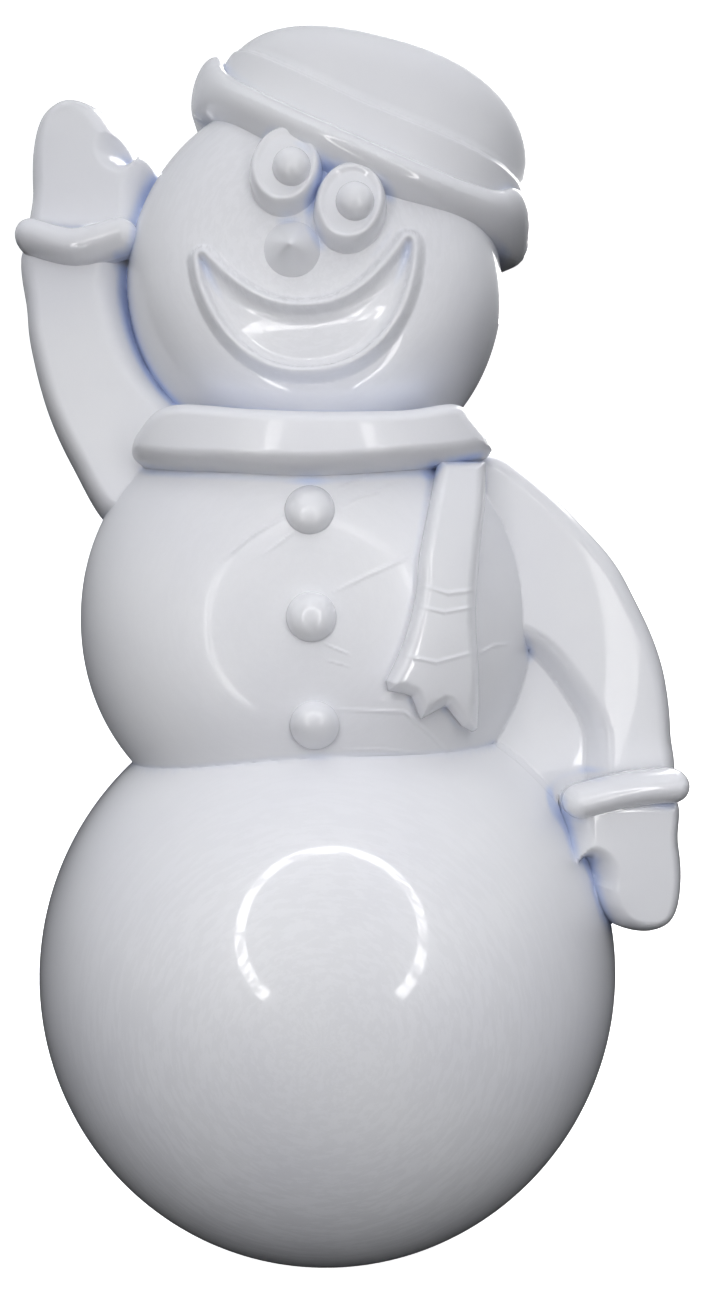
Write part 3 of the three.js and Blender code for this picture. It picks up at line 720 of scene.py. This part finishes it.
def open_rim(points, faces):
    """The edges round a surface as pairs of points, the points on them, the pairs numbered
    among those, and flat triangles between them."""
    edges = np.vstack([faces[:, [0, 1]], faces[:, [1, 2]], faces[:, [2, 0]]])
    _, first, count = np.unique(np.sort(edges, axis=1), axis=0, return_index=True, return_counts=True)
    pairs = edges[first[count == 1]]
    loop, among = np.unique(pairs, return_inverse=True)
    among = among.reshape(-1, 2)
    return pairs, loop, among, triangles(points[loop], among.tolist())


def onto_ground(vertices, matrix=FIGURE, along=(0.0, 0.0, 1.0)):
    """Points that would be under the ground, slid onto it along a direction."""
    low = placed(vertices, matrix)[:, 2]
    rise = np.dot(np.array(matrix)[2, :3], along)
    return vertices + np.outer(np.clip(-low, 0, None) / rise, along)


def build_shell(name):
    """A shell's surface, with its sides and its back closed."""
    points, top, faces, normals, crease_shade = shell_surface(name)
    pairs, loop, among, lid = open_rim(points, faces)
    below = len(points)
    sides, back = np.c_[pairs[:, ::-1], among + below], lid[:, ::-1] + below
    base = BASE if top.min() < 40 else top.min() - 6
    foot = np.c_[points[loop, 0], np.full(len(loop), -base), points[loop, 1]]
    vertices = np.vstack([np.c_[points[:, 0], -top, points[:, 1]], foot])
    faces = faces.tolist() + sides.tolist() + back.tolist()
    obj = new_object(f"{name}_formed", onto_ground(vertices), faces)
    shade(obj, 50)
    facing = normals @ np.array(FIGURE.to_3x3().normalized()).T
    obj.data.normals_split_custom_set_from_vertices(np.vstack([facing, foot * 0]).tolist())
    # Each point carries how much blue shade to paint in its creases, for the plastic's colour.
    for layer, values in (("crease_shade", np.r_[crease_shade, np.zeros(len(loop))]),
                          ("polish", np.full(len(vertices), POLISH.get(name, 0.9))),
                          ("turned", marked(name, vertices))):
        obj.data.attributes.new(layer, "FLOAT", "POINT").data.foreach_set("value", values)
    layer = obj.data.attributes.new("turning", "FLOAT_VECTOR", "POINT")
    layer.data.foreach_set("vector", turning(name, vertices).ravel())
    return obj


# How polished each mould was, where it isn't 0.9.
POLISH = {"torso_shell": 0.3, "scarf_collar": 0.3, "left_arm": 0.35, "right_arm": 0.5}

# The domes whose moulds were turned on a lathe, so that its marks run in rings round them.
TURNED = {"ball_shell": BALL, "torso_shell": TORSO, "head_shell": HEAD}


def marked(name, vertices):
    """How plain the lathe's marks are: they fade out down the sides."""
    if name not in TURNED:
        return np.zeros(len(vertices))
    return np.clip((0.85 - TURNED[name].radius(vertices[:, 0], vertices[:, 2])) / 0.35, 0, 1)


def turning(name, vertices):
    """Distance over the surface from the mould's axis, in millimetres, and direction round it."""
    if name not in TURNED:
        return vertices * 0.05
    dome = TURNED[name]
    x, z = vertices[:, 0] - dome.x, vertices[:, 2] - dome.z
    radius = np.hypot(x, z) + 1e-6
    over = dome.a * np.arcsin(np.clip(radius / dome.a, 0, 1))
    return np.c_[over, 3 * x / radius, 3 * z / radius]


# ---------------------------------------------------------------- sheet and bar stock

def break_edges(obj, width, segments, angle):
    edges = obj.modifiers.new("broken edges", "BEVEL")
    edges.width, edges.segments, edges.limit_method = width * MM, segments, "ANGLE"
    edges.angle_limit = math.radians(angle)


def slab(name, outline, y0, y1, bevel=0.4, matrix=FIGURE):
    """A plate of any outline (x, z) between two depths, with its edges broken."""
    outline = np.asarray(outline, float)
    count = len(outline)
    x, z = outline.T
    vertices = np.vstack([np.c_[x, np.full(count, y), z] for y in (y0, y1)])
    area = np.sum(x * np.roll(z, -1) - np.roll(x, -1) * z)
    ring = list(range(count)) if area > 0 else list(range(count))[::-1]
    faces = [tuple(ring), tuple(count + v for v in reversed(ring))]
    for a, b in zip(ring, ring[1:] + ring[:1]):
        faces.append((b, a, a + count, b + count))
    obj = new_object(name, vertices, faces, matrix)
    if bevel:
        break_edges(obj, bevel, 3, 40)
    shade(obj)
    return obj


def rounded(x0, x1, z0, z1, radius):
    """The outline of a rectangle with round corners."""
    made = []
    for x, z, start in ((x1 - radius, z1 - radius, 0), (x0 + radius, z1 - radius, 90),
                        (x0 + radius, z0 + radius, 180), (x1 - radius, z0 + radius, 270)):
        turn = np.radians(start + np.linspace(0, 90, 8))
        made.append(np.c_[x + radius * np.cos(turn), z + radius * np.sin(turn)])
    return np.vstack(made)


def circle(ahead, sides):
    """Points at a distance of 1 round a direction."""
    side = np.cross(ahead, (0, 1, 0) if abs(ahead[1]) < 0.9 else (0, 0, 1))
    side /= np.linalg.norm(side)
    turn = np.linspace(0, 2 * math.pi, sides, endpoint=False)
    return np.cos(turn)[:, None] * side + np.sin(turn)[:, None] * np.cross(side, ahead)


def skin(name, rings, matrix, closed=False):
    """A mesh through rings of points, with flat ends unless it closes on itself."""
    count, sides = len(rings), len(rings[0])
    faces = []
    for n in range(count if closed else count - 1):
        a, b = n * sides, (n + 1) % count * sides
        faces += [(a + k, b + k, b + (k + 1) % sides, a + (k + 1) % sides) for k in range(sides)]
    if not closed:
        faces.append(tuple(range(sides)))
        faces.append(tuple((count - 1) * sides + k for k in reversed(range(sides))))
    obj = new_object(name, np.vstack(rings), faces, matrix)
    shade(obj)
    return obj


def sweep(name, path, radius, sides, matrix=FIGURE, closed=False):
    """A round bar along a path."""
    along = np.roll(path, -1, axis=0) - np.roll(path, 1, axis=0) if closed else np.gradient(path, axis=0)
    along /= np.linalg.norm(along, axis=1)[:, None]
    rings = [place + radius * circle(ahead, sides) for place, ahead in zip(path, along)]
    return skin(name, rings, matrix, closed)


def turned(name, start, end, profile, matrix=FIGURE, ground=False):
    """A turned part: profile gives (millimetres along from start towards end, radius). With
    ground, what would be under the ground is drawn back onto it."""
    start, end = np.asarray(start, float), np.asarray(end, float)
    ahead = (end - start) / np.linalg.norm(end - start)
    rings = np.array([start + ahead * along + radius * circle(ahead, 48) for along, radius in profile])
    if ground:
        rings = onto_ground(rings.reshape(-1, 3), matrix, -ahead).reshape(rings.shape)
    return skin(name, rings, matrix)


# ---------------------------------------------------------------- the back
HINGE_Z, STANDOFF, BAR_HALF = 430.0, 14.0, 55.0
LEG_LEAN, LEG_TOP, LEG_FOOT, LEG_TUBE = 11.0, 46.0, 130.0, 6.0
PANEL_LEAN = 14.0
HANGER_Z, HANGER_PIVOT = 600.0, 9.0
RING_BOW, RING_WIRE = 16, 1.95       # the hanging ring's bow and wire, as radii
PLATE_HALF, EAR, BEND = 17, 11, 2.5  # the brackets: half height, the ear's nose and inner bend
SHEET, HANGER_SHEET = 2.5, 2.0       # how thick the brackets and the hanger's plate are
GAP = 0.3              # between parts that touch


def pivot(z, out):
    """A frame on one of the back's pivots, still upright, in millimetres."""
    return Matrix.Translation(FIGURE @ Vector((MIDDLE, PANEL + out, z)))


LEG = pivot(HINGE_Z, STANDOFF) @ Matrix.Rotation(math.radians(LEG_LEAN), 4, "X") @ Matrix.Scale(MM, 4)
HANGER = pivot(HANGER_Z, HANGER_PIVOT) @ Matrix.Scale(MM, 4)


def back_panel():
    """The flat sheet behind all the shells, cut to their common outline."""
    plans = {id(plan): plan for plan, _, _ in SHELLS.values() if hasattr(plan, "inset")}.values()
    x, z = (part.ravel() for part in np.meshgrid(np.arange(-196, 196, 2.0), np.arange(0, 712, 2.0)))
    inside = np.max([plan.inset(x, z) for plan in plans], axis=0)
    points = np.c_[x, z]
    points, faces = clip(points, triangles(points, []), np.clip(inside, -6, 6) - 0.6)
    _, loop, among, front = open_rim(points, faces)
    count = len(loop)
    back, sides = front[:, ::-1] + count, np.c_[among[:, ::-1], among + count]
    vertices = np.vstack([np.insert(points[loop], 1, y, axis=1) for y in (0, PANEL)])
    faces = front.tolist() + back.tolist() + sides.tolist()
    obj = new_object("back_panel_cut", onto_ground(vertices), faces)
    break_edges(obj, 0.35, 2, 60)
    shade(obj)
    return obj


def both_ends(end, length):
    """A profile that starts with an end and finishes with the same end the other way round."""
    return end + [(length - along, radius) for along, radius in end[::-1]]


def dome_head(foot, radius, rise):
    """Profile points of a domed rivet head that starts at foot."""
    turn = np.linspace(0, math.pi / 2, 7)
    return [(foot + rise * math.sin(t), max(radius * math.cos(t), 0.6)) for t in turn]


def rivet(name, x, z, sheet):
    """A domed head behind, a shank through plate and panel, and a set head in front."""
    back = PANEL + GAP + sheet + GAP
    head = [(back, 2.0), (back, 4.0), (back + 0.25, 4.25), *dome_head(back + 0.4, 4.1, 1.6)]
    dimple = [(back + 1.7, 0.55), (back + 1.75, 0.2)]
    front = [(-y, r) for y, r in dome_head(0.0, 4.0, 1.5)][::-1]
    profile = front + [(-0.0, 2.0)] + head + dimple
    return turned(name, (x, 0, z), (x, 1, z), profile)


def hinge_bracket(side, sign):
    """A plate riveted to the panel and a round-nosed ear that carries the rod."""
    near, far = BAR_HALF + 1.5, BAR_HALF + 28
    foot, axis = PANEL + GAP, PANEL + STANDOFF
    ends = sorted((MIDDLE + sign * near, MIDDLE + sign * far))
    outline = rounded(*ends, HINGE_Z - PLATE_HALF, HINGE_Z + PLATE_HALF, 4)
    plate = slab(f"hinge_bracket_{side}_plate", outline, foot, foot + SHEET)
    # The ear is drawn in the plane across the panel, as (up, out).
    turn = np.radians(np.linspace(0, 180, 25))
    nose = np.c_[EAR * np.cos(turn), axis - foot + EAR * np.sin(turn)]
    outline = np.vstack([[(EAR, 0.2)], nose, [(-EAR, 0.2)]])
    across = Matrix(((0, -1, 0, MIDDLE + sign * near), (0, 0, 1, foot), (1, 0, 0, HINGE_Z), (0, 0, 0, 1)))
    ear = slab(f"hinge_bracket_{side}_ear", outline, *sorted((0, -sign * SHEET)), 0.35, FIGURE @ across)
    # The inside of the bend between them.
    root = MIDDLE + sign * (near + SHEET)
    curve = np.radians(np.linspace(180, 270, 7))
    x, y = root + sign * BEND, BEND + SHEET
    inside = np.c_[x + sign * BEND * np.cos(curve), y + BEND * np.sin(curve)]
    corner = np.vstack([inside, [(root - sign * 0.6, SHEET - 0.6)]])
    upright = Matrix(((1, 0, 0, 0), (0, 0, 1, foot), (0, 1, 0, HINGE_Z), (0, 0, 0, 1)))
    bend = slab(f"hinge_bracket_{side}_bend", corner, -10.6, 10.6, 0, FIGURE @ upright)
    return [plate, ear, bend]


def hinge_rod():
    """The rod through both ears and the bar, with a turned head at each end."""
    head = [(0.0, 4.0), (0.5, 4.8), (1.0, 5.0), (2.0, 5.0), (2.4, 4.7), (2.5, 3.1)]
    length = 2 * (BAR_HALF + 8.5)
    start, middle = ((x, PANEL + STANDOFF, HINGE_Z) for x in (MIDDLE - length / 2, MIDDLE))
    return turned("hinge_rod_turned", start, middle, both_ends(head, length))


def leg_place(sign, along):
    """A point down one leg tube, 0 at the bar and 1 on the ground."""
    drop = LEG.translation.z / MM / math.cos(math.radians(LEG_LEAN))
    top, foot = np.array((sign * LEG_TOP, 0, 0)), np.array((sign * LEG_FOOT, 0, -drop))
    return top + (foot - top) * along


WELD = [(0.0, 0.0), (0.6, 1.3), (1.6, 1.75), (2.8, 1.5), (3.8, 0.5), (4.6, 0.0)]


def leg_tube(side, sign):
    """One leg, welded to the bar, with a ring of weld where it meets it."""
    top, foot = leg_place(sign, 0), leg_place(sign, 0.99)
    length = np.linalg.norm(foot - top)
    weld = [(7.2 + along, LEG_TUBE + rise) for along, rise in WELD]
    return turned(f"leg_tube_{side}_made", top, foot, [(0, LEG_TUBE), *weld, (length, LEG_TUBE)], LEG)


def leg_brace():
    """The cross tube between the legs, with a ring of weld at each end."""
    left, right = leg_place(1, 0.58), leg_place(-1, 0.58)
    length = np.linalg.norm(right - left)
    weld = [(LEG_TUBE - 0.6 + along, 5 + 0.8 * rise) for along, rise in WELD]
    return turned("leg_brace_made", left, right, both_ends([(2, 5), *weld], length), LEG)


def leg_bar():
    """The bored bar that turns on the rod, and the stop lug on top of it."""
    end = [(5.0, 3.5), (0.6, 3.6), (0.1, 4.0), (0.0, 4.4), (0.0, 7.0), (0.25, 7.6), (0.9, 8.0)]
    tube = turned("leg_bar_tube", (-BAR_HALF, 0, 0), (0, 0, 0), both_ends(end, 2 * BAR_HALF), LEG)
    square_to_panel = LEG @ Matrix.Rotation(-math.radians(LEG_LEAN + PANEL_LEAN), 4, "X")
    lug = slab("leg_bar_lug", rounded(-12, 12, 3, 11, 1.6), -(STANDOFF - GAP), 2, 0.7, square_to_panel)
    return [tube, lug]


def foot_tip(side, sign):
    """A ribbed rubber cap, cut flat by the ground."""
    length = np.linalg.norm(leg_place(sign, 1) - leg_place(sign, 0))
    start = leg_place(sign, 1 - 26 / length)
    profile = [(0, LEG_TUBE + 0.05), (0, 7.4), (0.35, 8.0), (1.0, 8.3)]
    for groove in (5.0, 8.0, 11.0):
        profile += [(groove + away, radius)
                    for away, radius in ((-0.7, 8.55), (-0.3, 8.1), (0.3, 8.1), (0.7, 8.55))]
    profile += [(14, 8.6), (18, 8.9), (21, 9.0), (24, 9.0), (26, 9.0), (30, 9.0)]
    return turned(f"foot_tip_{side}_moulded", start, leg_place(sign, 1), profile, LEG, ground=True)


def hanger_plate():
    """A plate with its lower edge rolled into a knuckle for the ring."""
    foot, half = PANEL + GAP, 8.0
    plate = slab("hanger_plate_sheet", rounded(MIDDLE - 17, MIDDLE + 17, HANGER_Z - 6, HANGER_Z + 20, 3.5),
                 foot, foot + HANGER_SHEET, 0.35)
    end = [(0.0, 2.6), (0.0, 4.1), (0.2, 4.45), (0.6, 4.6)]
    y = PANEL + HANGER_PIVOT
    start, middle = (MIDDLE - half, y, HANGER_Z), (MIDDLE, y, HANGER_Z)
    roll = turned("hanger_plate_roll", start, middle, both_ends(end, 2 * half))
    outline = rounded(MIDDLE - half + 0.3, MIDDLE + half - 0.3, HANGER_Z + 2.2, HANGER_Z + 4.5, 0.5)
    neck = slab("hanger_plate_neck", outline, foot + 1, y, 0.25)
    return [plate, roll, neck]


def hanger_ring():
    """A D of wire: a bow hung on a straight bar through the knuckle."""
    turn = np.radians(np.linspace(180, 360, 49))
    bow = RING_BOW * np.c_[np.cos(turn), np.zeros(49), np.sin(turn)]
    curl = np.radians(np.linspace(0, 90, 7))
    right = np.c_[RING_BOW - 2 + 2 * np.cos(curl), np.zeros(7), 2 * np.sin(curl) - 2]
    left = right[::-1] * (-1, 1, 1)
    path = np.vstack([bow[4:-4], right, [(0, 0, 0)], left])
    return sweep("hanger_ring_wire", path, RING_WIRE, 20, HANGER, closed=True)


# ---------------------------------------------------------------- materials

def srgb(*rgb):
    return (*(((c / 255 + 0.055) / 1.055) ** 2.4 for c in rgb), 1)


class Nodes:
    """A short way to write the node tree of a material or a world."""

    def __init__(self, owner):
        owner.use_nodes = True
        self.owner, self.tree = owner, owner.node_tree
        self.tree.nodes.clear()

    def add(self, kind, inputs=None, **settings):
        node = self.tree.nodes.new(kind)
        for key, value in settings.items():
            setattr(node, key, value)
        for key, value in (inputs or {}).items():
            if isinstance(value, bpy.types.NodeSocket):
                self.tree.links.new(value, node.inputs[key])
            else:
                node.inputs[key].default_value = value
        return node

    def attribute(self, name, output="Fac"):
        return self.add("ShaderNodeAttribute", attribute_name=name).outputs[output]

    def noise(self, vector, scale, detail=3.0, roughness=0.5):
        inputs = {"Vector": vector, "Scale": scale, "Detail": detail, "Roughness": roughness}
        return self.add("ShaderNodeTexNoise", inputs).outputs["Fac"]

    def math(self, operation, a, b):
        return self.add("ShaderNodeMath", {0: a, 1: b}, operation=operation).outputs[0]

    def ramp(self, value, low, high, to_low=0.0, to_high=1.0):
        inputs = {"Value": value, "From Min": low, "From Max": high, "To Min": to_low, "To Max": to_high}
        return self.add("ShaderNodeMapRange", inputs).outputs["Result"]

    def mix(self, amount, a, b):
        return self.add("ShaderNodeMix", {0: amount, 6: a, 7: b}, data_type="RGBA").outputs[2]

    def stretch(self, vector, *scale):
        return self.add("ShaderNodeMapping", {"Vector": vector, "Scale": scale}).outputs["Vector"]

    def bump(self, height, distance_mm, **under):
        inputs = {"Height": height, "Distance": distance_mm * MM, "Strength": 1.0, **under}
        return self.add("ShaderNodeBump", inputs).outputs["Normal"]

    def output(self, kind, shader):
        self.add(kind, {"Surface": shader.outputs[0]})
        return self.owner

    def finish(self, color, roughness, normal, **sockets):
        inputs = {"Base Color": color, "Roughness": roughness, "Normal": normal}
        inputs.update((key.replace("_", " "), value) for key, value in sockets.items())
        return self.output("ShaderNodeOutputMaterial", self.add("ShaderNodeBsdfPrincipled", inputs))


def new_material(name):
    """A material's nodes, and the place on the object that its patterns are worked out from."""
    n = Nodes(bpy.data.materials.new(name))
    return n, n.add("ShaderNodeTexCoord").outputs["Object"]


def shell_plastic():
    """Glossy bluish white sheet, turned mould marks, specks, and painted blue shade where two shells meet
    in creases.
    """
    n, place = new_material("shell plastic")
    round_it, marks_here = n.attribute("turning", "Vector"), n.attribute("turned")
    color = n.mix(n.ramp(n.noise(place, 9.0, 4.0), 0.35, 0.65), srgb(228, 229, 235), srgb(234, 235, 239))
    # Painted shade: a blue tint mixed in where the creases are deep, standing in for light bounced between
    # the bluish shells.
    color = n.mix(n.math("MULTIPLY", n.attribute("crease_shade"), 0.42), color, srgb(146, 182, 246))
    spots = n.add("ShaderNodeTexVoronoi", {"Vector": place, "Scale": 75.0, "Randomness": 1.0})
    chosen = n.ramp(n.noise(place, 37.0, 1.0), 0.69, 0.72)
    speck = n.math("MULTIPLY", n.ramp(spots.outputs["Distance"], 0.035, 0.055, 1.0, 0.0), chosen)
    color = n.mix(n.math("MULTIPLY", speck, 0.7), color, srgb(84, 78, 72))
    marks = n.noise(n.stretch(round_it, 0.5, 1.1, 1.1), 1.0, 3.0, 0.6)
    grain = n.bump(n.noise(place, 700.0, 2.0), 0.02)
    normal = n.bump(n.math("MULTIPLY", marks, marks_here), 0.012, Normal=grain)
    roughness = n.ramp(n.noise(place, 24.0, 4.0), 0.3, 0.7, 0.3, 0.37)
    streaks = n.noise(n.stretch(round_it, 0.36, 2.2, 2.2), 1.0, 3.0, 0.65)
    dulled = n.math("MULTIPLY", n.ramp(streaks, 0.45, 0.53, 0.8, 0.0), marks_here)
    shine = n.math("MULTIPLY", n.attribute("polish"), n.math("SUBTRACT", 1.0, dulled))
    return n.finish(color, roughness, normal, Coat_Weight=shine, Coat_Roughness=0.04, Coat_IOR=1.5,
                    Specular_IOR_Level=0.45)


def panel_plastic():
    """Satin sheet with a faint extruded grain, running up the panel."""
    n, place = new_material("panel plastic")
    color = n.mix(n.ramp(n.noise(place, 7.0, 4.0), 0.3, 0.7), srgb(219, 220, 226), srgb(228, 229, 233))
    scuffs = n.noise(n.stretch(place, 260.0, 40.0, 9.0), 1.0, 3.0)
    color = n.mix(n.ramp(scuffs, 0.66, 0.8, 0.0, 0.35), color, srgb(196, 197, 203))
    grain = n.bump(n.noise(n.stretch(place, 900.0, 900.0, 60.0), 1.0, 2.0), 0.03)
    normal = n.bump(n.noise(place, 420.0, 3.0), 0.04, Normal=grain)
    return n.finish(color, n.ramp(scuffs, 0.3, 0.7, 0.4, 0.5), normal, Specular_IOR_Level=0.5)


def tube_paint():
    """Light grey powder coat: a fine orange peel, slightly uneven, with small chips."""
    n, place = new_material("tube paint")
    color = n.mix(n.ramp(n.noise(place, 18.0, 4.0), 0.3, 0.7), srgb(210, 211, 215), srgb(220, 221, 224))
    chips = n.ramp(n.noise(place, 150.0, 4.0, 0.6), 0.735, 0.75)
    color = n.mix(chips, color, srgb(132, 134, 138))
    normal = n.bump(n.noise(place, 900.0, 2.0), 0.06)
    return n.finish(color, n.ramp(n.noise(place, 60.0), 0.3, 0.7, 0.34, 0.44), normal,
                    Coat_Weight=0.15, Coat_Roughness=0.2)


def zinc_steel():
    """Bright zinc plate with a soft spangle, rubbed along its length and dulled in places."""
    n, place = new_material("zinc steel")
    flakes = n.add("ShaderNodeTexVoronoi", {"Vector": place, "Scale": 420.0}).outputs["Color"]
    gray = n.add("ShaderNodeRGBToBW", {"Color": flakes}).outputs[0]
    color = n.mix(n.ramp(gray, 0.2, 0.8, 0.0, 0.6), srgb(186, 189, 194), srgb(204, 206, 209))
    dull = n.ramp(n.noise(place, 90.0, 4.0), 0.45, 0.75)
    color = n.mix(n.math("MULTIPLY", dull, 0.5), color, srgb(150, 152, 155))
    roughness = n.ramp(n.noise(n.stretch(place, 200.0, 1600.0, 1600.0), 1.0), 0.3, 0.7, 0.26, 0.42)
    normal = n.bump(n.noise(place, 1200.0, 2.0), 0.02)
    return n.finish(color, roughness, normal, Metallic=0.95)


def foot_rubber():
    """Matt black rubber, dusty in patches."""
    n, place = new_material("foot rubber")
    dust = n.ramp(n.noise(place, 110.0, 5.0, 0.6), 0.45, 0.75)
    color = n.mix(dust, srgb(34, 35, 37), srgb(58, 58, 60))
    normal = n.bump(n.noise(place, 1500.0, 3.0), 0.05)
    return n.finish(color, n.ramp(dust, 0.0, 1.0, 0.72, 0.9), normal, Specular_IOR_Level=0.35)


def floor_paint():
    """A plain pale floor, lit evenly enough to read as white paper."""
    n, place = new_material("floor")
    color = n.mix(n.noise(place, 2.0, 3.0), srgb(243, 243, 245), srgb(246, 246, 247))
    return n.finish(color, 0.9, n.bump(n.noise(place, 300.0), 0.02), Specular_IOR_Level=0.1,
                    Emission_Color=(1, 1, 1, 1), Emission_Strength=0.85)


# ---------------------------------------------------------------- putting it together

SLOTS = {make.__name__: make()
         for make in (shell_plastic, panel_plastic, tube_paint, zinc_steel, foot_rubber)}


def place_piece(objects, node, slot="zinc_steel", body="figure"):
    """The pieces that stand for a CAD node, riding its body in its material."""
    for obj in objects if isinstance(objects, list) else [objects]:
        obj.data.materials.clear()
        obj.data.materials.append(SLOTS[slot])
        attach(obj, body)
        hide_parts(node)


for shell in SHELLS:
    place_piece(build_shell(shell), shell, "shell_plastic")
place_piece(back_panel(), "back_panel", "panel_plastic")
for side, sign in (("left", 1), ("right", -1)):
    middle = MIDDLE + sign * (BAR_HALF + 16)
    place_piece(hinge_bracket(side, sign), f"hinge_bracket_{side}")
    for level, z in (("upper", HINGE_Z + 10), ("lower", HINGE_Z - 10)):
        name = f"bracket_rivet_{level}_{side}"
        place_piece(rivet(f"{name}_set", middle, z, SHEET), name)
    name = f"hanger_rivet_{side}"
    place_piece(rivet(f"{name}_set", MIDDLE + sign * 12.5, HANGER_Z + 8, HANGER_SHEET), name)
    place_piece(leg_tube(side, sign), f"leg_tube_{side}", "tube_paint", "leg")
    place_piece(foot_tip(side, sign), f"foot_tip_{side}", "foot_rubber", "leg")
place_piece(hinge_rod(), "hinge_rod")
place_piece(hanger_plate(), "hanger_plate")
place_piece(leg_brace(), "leg_brace", "tube_paint", "leg")
place_piece(leg_bar(), "leg_bar", "tube_paint", "leg")
place_piece(hanger_ring(), "hanger_ring", body="hanger")


# ---------------------------------------------------------------- the studio

LENS_BACK, LENS_UP = 568.2, 355.0    # the camera stands this far off the panel, this far up it
SENSOR, LENS = 36.0, 26.0
LAMP_RADIUS, LAMP_TUBE, LAMP_GAP = 290.0, 18.0, 38.0   # the gap is in degrees from straight down


def backdrop():
    """A floor that sweeps up into a wall behind the figure."""
    turn = np.linspace(0, math.pi / 2, 13)
    bend = [(1.4 + 0.8 * math.sin(t), 0.8 - 0.8 * math.cos(t)) for t in turn]
    profile = [(-4.0, 0.0), (0.0, 0.0), *bend, (2.2, 5.0)]
    vertices = [(x, y, z) for y, z in profile for x in (-5.0, 5.0)]
    faces = [(2 * n, 2 * n + 1, 2 * n + 3, 2 * n + 2) for n in range(len(profile) - 1)]
    obj = new_object("backdrop", vertices, faces, Matrix.Identity(4))
    shade(obj, 60)
    obj.data.materials.append(floor_paint())
    obj.visible_diffuse = obj.visible_glossy = False


def ring_light():
    """A ring lamp round the lens, open at the bottom."""
    turn = np.radians(np.linspace(-90 + LAMP_GAP, 270 - LAMP_GAP, 97))
    x, z = LAMP_RADIUS * np.cos(turn), LENS_UP + LAMP_RADIUS * np.sin(turn)
    path = np.c_[x, np.full(97, -LENS_BACK), z]
    obj = sweep("ring lamp", path, LAMP_TUBE, 12)
    n = Nodes(bpy.data.materials.new("ring lamp glow"))
    glow = n.add("ShaderNodeEmission", {"Color": (1, 0.985, 0.97, 1), "Strength": 10.0})
    obj.data.materials.append(n.output("ShaderNodeOutputMaterial", glow))
    obj.visible_camera = False


def area_light(name, place, target, size, power, glossy=False):
    """A round lamp, which only shows in reflections if it is glossy."""
    data = bpy.data.lights.new(name, "AREA")
    data.shape, data.size, data.energy, data.color = "DISK", size, power, (1.0, 0.99, 0.98)
    obj = linked(name, data)
    obj.location = place
    obj.rotation_euler = (Vector(target) - Vector(place)).to_track_quat("-Z", "Y").to_euler()
    obj.visible_camera, obj.visible_glossy = False, glossy


def surroundings():
    """A soft room, brighter above than below, a big lamp overhead and one behind."""
    n = Nodes(bpy.data.worlds.new("soft room"))
    across = n.add("ShaderNodeTexCoord").outputs["Generated"]
    up = n.add("ShaderNodeSeparateXYZ", {0: across}).outputs["Z"]
    # Rays from the camera see a plain pale room; the gradient only lights the figure.
    seen = n.add("ShaderNodeLightPath").outputs["Is Camera Ray"]
    strength = n.add("ShaderNodeMix", {0: seen, 2: n.ramp(up, -0.15, 0.3, 0.0, 0.6), 3: 0.86})
    inputs = {"Color": (0.94, 0.96, 1.0, 1), "Strength": strength.outputs[0]}
    room = n.output("ShaderNodeOutputWorld", n.add("ShaderNodeBackground", inputs))
    bpy.context.scene.world = room
    area_light("overhead", (0.1, -0.5, 2.2), (0, 0, 0.35), 1.6, 6.0)
    area_light("behind", (0.5, 1.5, 1.3), (0, 0.05, 0.35), 1.5, 22.0, glossy=True)


def camera():
    data = bpy.data.cameras.new("camera")
    data.sensor_width, data.lens = SENSOR, LENS
    obj = linked("camera", data)
    obj.location = FIGURE @ Vector((0, -LENS_BACK, LENS_UP))
    facing = FIGURE.to_3x3().normalized() @ Matrix.Rotation(math.radians(90), 3, "X")
    obj.rotation_euler = facing.to_euler()
    bpy.context.scene.camera = obj


backdrop()
ring_light()
surroundings()
camera()
bpy.context.scene.view_settings.view_transform = "Standard"
